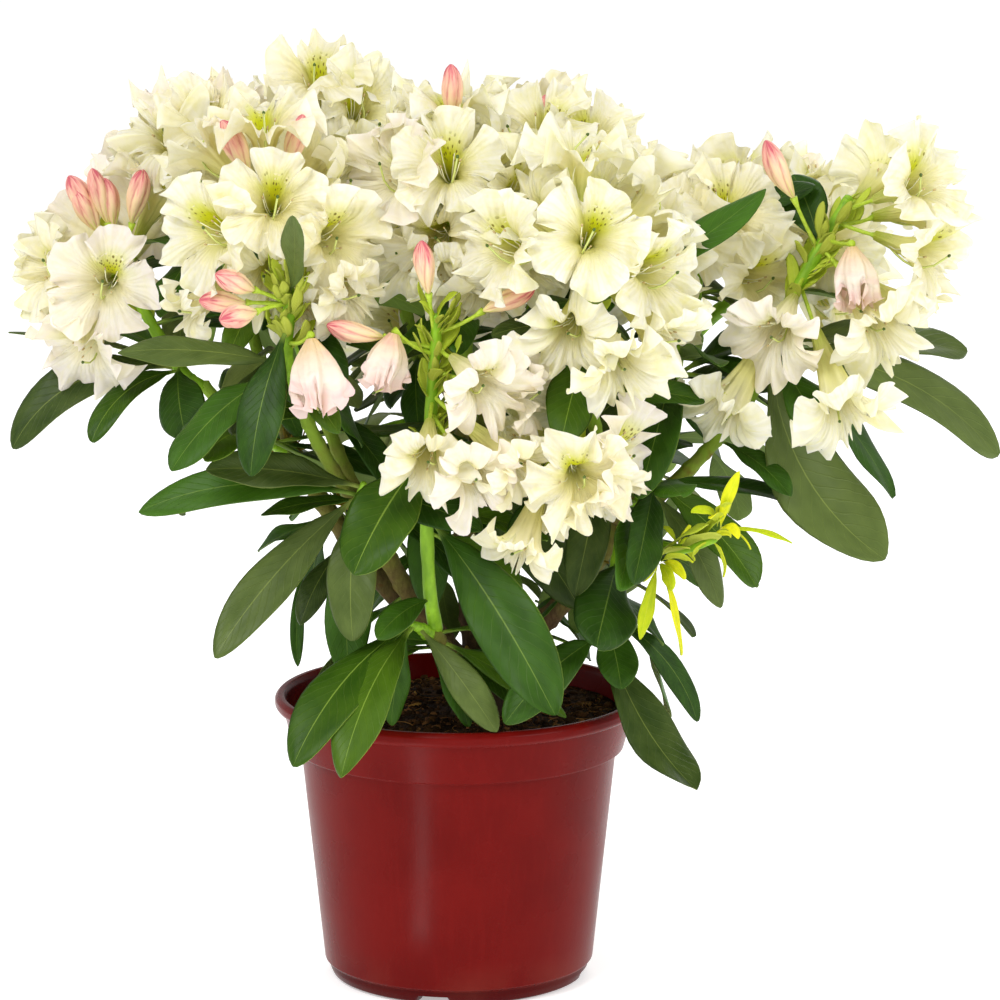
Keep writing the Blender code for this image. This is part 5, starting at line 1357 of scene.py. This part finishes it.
def drawCompost():
    # polar grid: z = soilHeight(r cos a, r sin a), closed below by the pot's inner wall and floor
    p = potRule
    floor = p["channel"] + 2.2 * mm + growth["gap"]
    edge = potInside(p["soil"]) - 0.8 * mm
    a = ringTurns(compostLook["sides"])
    heights = (floor + 6 * mm, p["collarBottom"] - 1 * mm, p["collarBottom"] + 1 * mm)
    walls = [(potInside(floor) - 6.3 * mm, floor)] + [(potInside(h) - 0.6 * mm, h) for h in heights]
    lower = np.array([[(r * math.cos(t), r * math.sin(t), z) for t in a] for r, z in walls])
    r = edge * np.linspace(1, 0.02, compostLook["rings"])[:, None] ** 0.9
    x, y = r * np.cos(a), r * np.sin(a)
    upper = np.stack([x, y, soilHeight(x, y)], -1)
    verts, sheaf = np.concatenate([lower, upper]), Sheaf()
    addClosed(sheaf, verts, (0, 0, floor), (0, 0, float(soilHeight(0.0, 0.0))), np.linspace(0, 1, len(verts)))
    return sheaf


def drawCrumbs():
    # lumps of 1.4 to 5.6 mm: rings of a rough ball, r = size (1 + 0.28 noise), flattened a little
    rng = np.random.default_rng(91)
    n, sides, rings = compostLook["crumbs"], 6, 4
    edge = potInside(potRule["soil"]) - 4 * mm
    reach, turn = edge * np.sqrt(rng.uniform(0.02, 1, n)), rng.uniform(0, tau, n)
    x, y = reach * np.cos(turn), reach * np.sin(turn)
    least, added = compostLook["sizes"]
    size = least + added * rng.random(n) ** 2.6
    lat = np.linspace(-1.15, 1.15, rings)[None, :, None]
    lon = ringTurns(sides)[None, None, :] + rng.uniform(0, tau, n)[:, None, None]
    bumpy = size[:, None, None] * (1 + rng.uniform(-0.28, 0.28, (n, rings, sides)))
    wide = 1 + rng.uniform(-0.25, 0.6, (n, 1, 1))
    centre = np.stack([x, y, soilHeight(x, y) + size * 0.25], -1)[:, None]
    flat = np.cos(lat)
    ball = np.stack([flat * np.cos(lon) * wide, flat * np.sin(lon), np.sin(lat) * 0.8 + lon * 0], -1)
    tips = centre + np.array([[0, 0, -0.8], [0, 0, 0.8]]) * size[:, None, None]
    shade = rng.random(n)[:, None, None, None]
    sheaf = Sheaf()
    places = np.concatenate([shade, shade * 0 + 0.5], -1)
    addMany(sheaf, centre[:, None] + bumpy[..., None] * ball, tips, True, places)
    return sheaf


def drawFibres():
    # peat fibres: thin threads of 6 to 24 mm that lie in shallow curves on the compost
    rng = np.random.default_rng(92)
    sheaf = Sheaf()
    edge = potInside(potRule["soil"]) - 5 * mm
    for count, lengths, thick, shades in (compostLook["fibres"], compostLook["chips"]):
        reach, turn = edge * np.sqrt(rng.uniform(0.03, 1, count)), rng.uniform(0, tau, count)
        way, long = rng.uniform(0, tau, count), rng.uniform(*lengths, count) * mm
        t = np.linspace(-0.5, 0.5, 6)[None, :]
        bow = rng.uniform(-0.3, 0.3, count)[:, None] * long[:, None] * (1 - 4 * t ** 2)
        east, north = np.cos(way)[:, None], np.sin(way)[:, None]
        x = (reach * np.cos(turn))[:, None] + east * long[:, None] * t - north * bow
        y = (reach * np.sin(turn))[:, None] + north * long[:, None] * t + east * bow
        inside = np.minimum(1, edge / np.maximum(np.hypot(x, y), 1e-6))
        x, y = x * inside, y * inside
        z = soilHeight(x, y) + rng.uniform(0.2, 1.8, count)[:, None] * mm * (1 - 1.6 * np.abs(t))
        radii = thick * mm * rng.uniform(0.6, 1.3, count)[:, None] * (1.1 - np.abs(t))
        for k in range(count):
            spot = (rng.uniform(*shades), 0.5)
            addTubes(sheaf, np.stack([x[k], y[k], z[k]], -1)[None], radii[k][None], 4, uv=spot)
    return sheaf


def compostMaterial():
    # moist peat: nearly black where wet, warm brown where crumbs have dried, quite without gloss
    mat, shader, add = newMaterial("moist_peat_loose", 0.95, 0.1)
    where = add("TexCoord", out=3)
    coarse = add("TexNoise", Vector=where, Scale=120.0, Detail=6.0, Roughness=0.7)
    fine = add("TexVoronoi", Vector=where, Scale=520.0)
    height = add("MULTIPLY_ADD", fine, 0.8, coarse)
    add(shader, {"Base Color": add("ValToRGB", coarse, stops=(
        (0.3, "#150C06"), (0.48, "#2A190E"), (0.6, "#4A2F1B"), (0.74, "#6E4B2D"))),
        "Normal": add("Bump", Height=height, Distance=0.0015, Strength=1.0)})
    return mat


def crumbMaterial(name, *shades):
    # one shade for each crumb or fibre, read from its place on the map
    mat, shader, add, x, y = newMaterial(name, 0.9, 0.12, "crumbMap")
    add(shader, {"Base Color": add("ValToRGB", x, stops=shades)})
    return mat


# dressing the plan

mixes = dict(tints=((0.78, 0.16, 0.06), (0.24, 0.70, 0.06), (0.20, 0.22, 0.58)),
             greens=((0.66, 0.18, 0.16), (0.20, 0.74, 0.06), (0.55, 0.05, 0.40)))
tints = ("petals_cream", "petals_ivory", "petals_blush")
petals = {f"{name}_{side}": Sheaf() for name in tints for side in ("front", "back")}
petals["petals_half_open"] = Sheaf()
bractCounts = dict(truss_low_centre=54, truss_left_front=36, truss_right=40, others=8)
# small leaves and scales: lengths in mm, width against length, bend and turn in degrees, and how
# they stand off: azimuth and elevation, or place along the shoot and lean towards its tip
sprigLook = dict(lengths=(12, 24), slimness=(0.2, 0.34), bends=(60, 160), turns=(-80, 80), bothWays=False,
                 azimuths=(-150, 150), elevations=(-80, 50))
bractLook = dict(lengths=(17, 31), slimness=(0.22, 0.38), bends=(20, 70), turns=(-40, 40), bothWays=True,
                 places=(0.36, 0.97), lean=(0.7, 2.2))
scaleLook = dict(lengths=(13, 27), slimness=(0.12, 0.26), bends=(30, 100), turns=(-60, 60), bothWays=True,
                 azimuths=(-110, 110), elevations=(-30, 70))
leafSlim = 0.86  # drawn leaves against the solid's in width
# leaves drawn otherwise than the solid's, by their number among the shoot's leaves
redrawn = dict(
    truss_left_front={2: dict(slim=0.62, turn=-40)},  # a strap-like leaf that stands up
    leaves_left_low={1: dict(bend=44, slim=0.72), 2: dict(green="leaves_olive", slim=0.78)},
    truss_left={0: dict(bend=78), 1: dict(bend=66, slim=0.7), 3: dict(slim=0.5, shift=(0, 0, 2))},
    leaves_right_low={2: dict(bend=-38, slim=0.95), 4: dict(slim=0.7)},
    truss_right={1: dict(bend=-56, slim=1.0, shift=(-2, 0, -3)), 3: dict(green="leaves_olive", slim=0.95),
                 4: dict(bend=53, slim=0.95, green="leaves_olive")},
    truss_front_right={2: dict(green="leaves_deep_green", slim=0.62, bend=-16, shift=(-22, 34, 36))})
# by their number in the plan: leaves not drawn, where the crown is open to the sky; flowers drawn
# nearer their stalk than the solid's; one that faces more to the side; and some still in bud
leftOut = dict(truss_left=(18, 19, 22), truss_left_front=(13,), truss_front_left=(11,),
               truss_upper_left=(14,), truss_back_left=(14, 16), leaves_far_left=(0, 4, 6, 7, 10),
               leaves_back_left=(1, 6, 11, 12), leaves_front_low=(7,), leaves_left_low=(5,),
               truss_right=(19,))
tucked = dict(truss_left={0: 0.86, 11: 0.84}, truss_upper_left={2: 0.88, 3: 0.76, 0: 0.92},
              truss_top_left={2: 0.82, 8: 0.84, 3: 0.86}, truss_right={4: 0.78, 2: 0.9},
              truss_top_right={1: 0.9, 2: 0.84, 3: 0.84, 11: 0.8})
turned = dict(truss_left={2: (-0.22, 0.0, -0.2)})
inBud = dict(truss_left=(10,), truss_top_right=(2,))
leaves = {name: Sheaf() for name in ("leaves_deep_green", "leaves_fresh_green", "leaves_olive")}
youngLeaves, stamens, buds, flowerStalks, bracts, greenShoots = (Sheaf() for k in range(6))
owners = {}


def smallLeaf(rng, look, base, way, long):
    slim = rng.uniform(*look["slimness"])
    bend = (rng.choice([-1, 1]) if look["bothWays"] else 1) * rng.uniform(*look["bends"])
    return leafMeasures(base, base + way * long, long * slim, bend, rng.uniform(*look["turns"]), "grown")


for name, own in shootTable.items():
    rng = random.Random(own["seed"] + 77)
    for i, (kind, measures) in enumerate(plan[name]):
        seed = own["seed"] * 100 + i
        if i in leftOut.get(name, ()):
            continue
        if kind in ("bloom", "filler"):
            base, aim, reach, mouth = measures
            near = tucked.get(name, {}).get(i, 1)
            reach, mouth = reach * near, mouth * (0.4 + 0.6 * near)
            if i in turned.get(name, ()):
                aim = (aim + Vector(turned[name][i])).normalized()
            measures = (base, aim, reach, mouth)
        if i in inBud.get(name, ()):
            for swing in (-budLook["pairSwing"], budLook["pairSwing"]):
                measures = (base, (aim + Vector((swing, 0, -abs(swing) * 0.5))).normalized(), reach)
                drawBud(buds, measures, seed + (swing > 0))
                drawFlowerStalk(flowerStalks, measures, seed, 1 - budLook["length"])
        elif kind in ("bloom", "filler"):
            side = "back" if own["way"][-1][1] > 0 else "front"
            tint = rng.choices(tints, mixes["tints"][own["tint"]])[0] + "_" + side
            roll = rng.uniform(-0.7, 0.7)
            half = corollaLook["half"]
            if corollaKind(mouth) is half:  # a heavy barrel that nods on its stalk
                tint = "petals_half_open"
                nod = (aim * half["sag"] + Vector((0, 0, -1))).normalized()
                long = half["length"] * mouth
                calyx = base + aim * reach - nod * long * half["seat"]
                stalk = calyx - base
                drawFlowerStalk(flowerStalks, (base, stalk.normalized(), stalk.length), seed, 1.0)
                measures = (calyx, nod, long, mouth)
            drawCorolla(petals[tint], measures, seed, roll)
            drawStamens(stamens, measures, seed, roll)
            drawFlowerStalk(flowerStalks, measures, seed, corollaKind(measures[3])["start"])
            owners.setdefault(tint, set()).add(name)
        elif kind == "bud":
            drawBud(buds, measures, seed)
            drawFlowerStalk(flowerStalks, measures, seed, 1 - budLook["length"])
        elif kind == "sprig":
            for k in range(4):  # passes over four draws, so that the rest stay as they were
                rng.random()
            way = heading(rng.uniform(*sprigLook["azimuths"]), rng.uniform(*sprigLook["elevations"]))
            long = rng.uniform(*sprigLook["lengths"]) * mm
            measures = smallLeaf(rng, sprigLook, measures[0], way, long)
            drawLeaf(youngLeaves, measures, seed * 7, rows=9, petiole=0.8)
        else:
            green = rng.choices(list(leaves), mixes["greens"][own["green"]])[0]
            place = sum(k == "leaf" for k, other in plan[name][:i]) if kind == "leaf" else None
            change = redrawn.get(name, {}).get(place, {})
            green = change.get("green", green)
            base, tip, width, bend, turn, outward, sections = measures
            tip = tip + Vector(change.get("shift", (0, 0, 0))) * mm
            width, bend = width * change.get("slim", leafSlim), change.get("bend", bend)
            turn += change.get("turn", 0)
            drawLeaf(leaves[green], (base, tip, width, bend, turn, outward, sections), seed)
            owners.setdefault(green, set()).add(name)
    drawShoot(greenShoots, *stems[name], own["seed"])
    if own["reach"]:
        points = smoothPath(stems[name][0], 200)
        run = np.concatenate([[0], np.cumsum(np.linalg.norm(np.diff(points, axis=0), axis=1))])
        for k in range(bractCounts.get(name, bractCounts["others"])):
            place = int(np.searchsorted(run, rng.uniform(*bractLook["places"]) * run[-1]))
            base, along = Vector(points[place]), Vector(points[place] - points[place - 1]).normalized()
            long = rng.uniform(*bractLook["lengths"]) * mm
            way = (along * rng.uniform(*bractLook["lean"]) + heading(rng.uniform(-180, 180), 0)).normalized()
            measures = smallLeaf(rng, bractLook, base, way, long)
            drawLeaf(bracts, measures, own["seed"] * 100 + 60 + k, rows=8, thin=0.7, petiole=1.6, ring=8)

# further leaves, as base, tip, width in mm, bend and turn in degrees: the two tufts in which the late
# shoot opens, the scales still wrapped round it, and weak shoots' leaves that close the crown behind
# the trunk
lateTufts = (
    ((158, -118, 308), (169, -124, 345), 8, 66, 40), ((158, -118, 308), (201, -124, 301), 6, 44, 10),
    ((158, -118, 308), (176, -128, 298), 4, 90, -30), ((156, -118, 310), (140, -126, 320), 7, 130, 30),
    ((156, -118, 310), (161, -132, 328), 10, 60, 30), ((156, -118, 310), (151, -134, 318), 9, 100, -50),
    ((158, -119, 308), (168, -136, 306), 6, 110, 60), ((121, -102, 284), (110, -120, 241), 10, 16, 20),
    ((123, -102, 284), (135, -124, 232), 10, 22, -20), ((120, -102, 285), (104, -114, 293), 9, 160, 50),
    ((123, -102, 285), (142, -118, 288), 9, 70, -50), ((123, -102, 284), (137, -116, 277), 7, 90, 70),
    ((121, -102, 284), (129, -120, 271), 9, 70, 60), ((122, -102, 285), (112, -118, 276), 8, 110, -30))
lateSheath = (
    ((126, -90, 290), (150, -122, 312), 13, 24, 30), ((132, -94, 288), (158, -126, 306), 12, 30, -20),
    ((138, -98, 292), (160, -124, 318), 10, 20, 60), ((122, -90, 286), (140, -114, 296), 10, 36, 0))
lowLeaves = (
    ((-12, 16, 256), (-4, 20, 208), 26, 30, 0), ((24, 26, 258), (58, 30, 224), 24, 34, 0),
    ((48, 6, 238), (83, 10, 198), 26, 40, 0), ((-96, -8, 266), (-100, -14, 200), 9, 14, 70),
    ((-78, -20, 296), (-124, -26, 276), 30, 24, 0), ((20, 34, 250), (8, 44, 204), 28, 30, 0),
    ((-80, 0, 292), (-92, -4, 232), 24, 26, 30))
for sheaf, table, first, form in ((youngLeaves, lateTufts, 8000, dict(rows=13, petiole=0.7)),
                                  (bracts, lateSheath, 8100, dict(rows=10, petiole=2.0)),
                                  (leaves["leaves_deep_green"], lowLeaves, 8200, {})):
    for k, (base, tip, width, bend, turn) in enumerate(table):
        measures = leafMeasures(Vector(base) * mm, Vector(tip) * mm, width * mm, bend, turn, "grown")
        drawLeaf(sheaf, measures, first + k, **form)
# brown remains of last year's flower stalks at some forks
withered = Sheaf()
rng = random.Random(505)
for name, share, count in (("limb_far_left", 1.0, 11), ("limb_left", 0.98, 10), ("limb_front", 0.12, 6),
                           ("limb_right", 0.7, 8), ("limb_centre_front", 0.5, 7)):
    base = Vector(smoothPath(limbs[name][0], 60)[int(share * 59)])
    for k in range(count):
        long = rng.uniform(*scaleLook["lengths"]) * mm
        way = heading(rng.uniform(*scaleLook["azimuths"]), rng.uniform(*scaleLook["elevations"]))
        measures = smallLeaf(rng, scaleLook, base, way, long)
        drawLeaf(withered, measures, 7000 + k, rows=8, thin=0.6, petiole=1.3, ring=8)

petalKinds = dict(
    petals_cream=petalMaterial("petal_cream", "#B6C43A", "#EFEA9C", "#FAF5DC", "#FEFCF4", 0.34),
    petals_ivory=petalMaterial("petal_ivory", "#C2CA42", "#F1EAA4", "#FAF4D4", "#FEFBF0", 0.34),
    petals_blush=petalMaterial("petal_blushed", "#C6CA58", "#F8F1C6", "#FDF8E8", "#FEF6F2", 0.34),
    petals_half=petalMaterial("petal_half_open", "#F0D090", "#F8EAD4", "#FCF4EA", "#FBE2DE", 0.3, "#EDA3A6"))
leafKinds = dict(
    leaves_deep_green=leafMaterial("leaf_leathery_deep_green", "#1F3A0A", "#3F6615", "#5F7532", "#86A044",
                                   0.42),
    leaves_fresh_green=leafMaterial("leaf_leathery_fresh_green", "#2A480A", "#4F6E16", "#75903A",
                                    "#A0BC4C", 0.38),
    leaves_olive=leafMaterial("leaf_leathery_olive", "#2C3E14", "#5C6C34", "#66742F", "#8E9C4A", 0.38))
dryScale = leafMaterial("scale_dry_brown_yellow", "#8A6A22", "#B09A38", "#8A7430", "#C4B25A", 0.7)
softLeaf = leafMaterial("leaf_young_soft_yellow", "#A9BE14", "#E2DE1C", "#B4C030", "#E3E46A", 0.5)
bract = leafMaterial("bract_papery_yellow_green", "#A9BC2A", "#C2D248", "#AEB845", "#D6DC7C", 0.55)
stalk = stalkMaterial("flower_stalk_juicy", "#A4C02E", "#BCD448", "#B98A4A", 0.45)
greenShoot = stalkMaterial("green_shoot_juicy", "#74A01C", "#95C42C", "#7A4A24", 0.5)
for name, sheaf in petals.items():
    sheaf.build(name, petalKinds[name.rsplit("_", 1)[0]], "flower_truss", sorted(owners[name]), "petalMap")
for name, sheaf in leaves.items():
    sheaf.build(name, leafKinds[name], "leafy_shoot", sorted(owners[name]), "leafMap")
withered.build("withered_scales", dryScale, "flower_truss", (), "leafMap")
youngLeaves.build("leaves_young_yellow", softLeaf, "leafy_shoot", ["late_shoot_right"], "leafMap")
bracts.build("truss_bracts", bract, "flower_truss", (), "leafMap")
buds.build("flower_buds", budMaterial(), "flower_truss", (), "budMap")
stamens.build("stamens_and_styles", stamenMaterial(), "flower_truss", (), "stamenMap")
flowerStalks.build("flower_stalks", stalk, "flower_truss", (), "stalkMap")
greenShoots.build("green_shoots", greenShoot, "leafy_shoot", (), "stalkMap")
print("plant drawn")

bark = Sheaf()
drawTrunk(bark, limbs["trunk"][0])
for k, name in enumerate(limbTable):
    path, radii = limbs[name]
    young = limbTable[name][0] != "trunk"
    radii = [r * barkLook["slim"][young] for r in radii]
    drawLimb(bark, path, radii, 300 + k, barkLook["ages"][young])
bark.build("bark", barkMaterial(), "rhododendron_bark", ["trunk", *limbTable], "barkMap")
drawPot().build("nursery_pot", potMaterial(), "moulded_polypropylene", ["pot"], sharp=32)
drawCompost().build("compost_bed", compostMaterial(), "moist_peat_compost", ["compost"])
crumb = crumbMaterial("peat_crumb_dry", (0.0, "#1A0F08"), (0.45, "#33200F"), (0.8, "#54371F"),
                      (0.97, "#7E5632"))
fibre = crumbMaterial("peat_fibre_and_bark_chip", (0.0, "#3A2211"), (0.4, "#5E3B1E"), (0.75, "#8C6236"),
                      (1.0, "#A9803E"))
drawCrumbs().build("compost_crumbs", crumb, "moist_peat_compost", (), "crumbMap")
drawFibres().build("compost_fibres", fibre, "moist_peat_compost", (), "crumbMap")
print("pot and compost drawn")


# studio: a white floor, soft light from above, and the camera

# lights: place, point aimed at, width, power and height where it isn't the width; the strip in front
# of the pot shines up and is turned by stripTurn
studio = dict(world=0.65, floorGlow=0.43, floorHalf=30.0, floorWhite=0.92, cameraPlace=(0.026, -3.1, 0.908),
              tilt=11.04, lens=182.8, stripTurn=-23.6,
              lights=dict(key_softbox=((-1.2, -1.9, 2.4), (0, 0, 0.35), 1.3, 47),
                          fill_softbox=((1.9, -1.5, 1.3), (0, 0, 0.3), 1.2, 23),
                          back_softbox=((0.6, 2.0, 1.9), (0, 0, 0.4), 1.2, 18),
                          pot_strip=((-0.135, -0.31, 0.004), (-0.135, -0.31, 1.0), 0.035, 0.21, 0.36)))


def areaLight(name, place, target, size, power, sizeY=None):
    light = bpy.data.lights.new(name, "AREA")
    light.shape = "RECTANGLE"
    light.size, light.size_y, light.energy = size, sizeY or size, power
    lamp = bpy.data.objects.new(name, light)
    lamp.location = place
    lamp.rotation_euler = (Vector(target) - Vector(place)).to_track_quat("-Z", "Y").to_euler()
    scene.collection.objects.link(lamp)
    return lamp


scene.world = bpy.data.worlds.new("studio")
scene.world.use_nodes = True
sky = scene.world.node_tree.nodes["Background"].inputs
sky["Color"].default_value, sky["Strength"].default_value = (1.0, 1.0, 1.0, 1.0), studio["world"]
half, white = studio["floorHalf"], studio["floorWhite"]
floorMesh = bpy.data.meshes.new("studio_floor")
floorMesh.from_pydata([(-half, -half, 0), (half, -half, 0), (half, half, 0), (-half, half, 0)], [],
                      [(0, 1, 2, 3)])
floor = bpy.data.objects.new("studio_floor", floorMesh)
scene.collection.objects.link(floor)
paper, paperShader, add = newMaterial("white_paper", 1.0, 0.0)
add(paperShader, {"Base Color": (white, white, white, 1.0), "Emission Color": (1.0, 1.0, 1.0, 1.0),
                  "Emission Strength": studio["floorGlow"]})
floorMesh.materials.append(paper)
floor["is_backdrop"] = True
lamps = {name: areaLight(name, *measures) for name, measures in studio["lights"].items()}
lamps["pot_strip"].rotation_euler = (math.pi, 0, math.radians(studio["stripTurn"]))
lamps["pot_strip"].data.use_shadow = False

camera = bpy.data.objects.new("camera", bpy.data.cameras.new("camera"))
camera.location = studio["cameraPlace"]
camera.rotation_euler = (math.radians(90 - studio["tilt"]), 0, 0)
camera.data.lens, camera.data.sensor_width, camera.data.clip_end = studio["lens"], 36, 100
scene.collection.objects.link(camera)
bpy.context.scene.camera = camera
scene.view_settings.view_transform = "Standard"
scene.view_settings.look = "None"

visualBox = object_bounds()
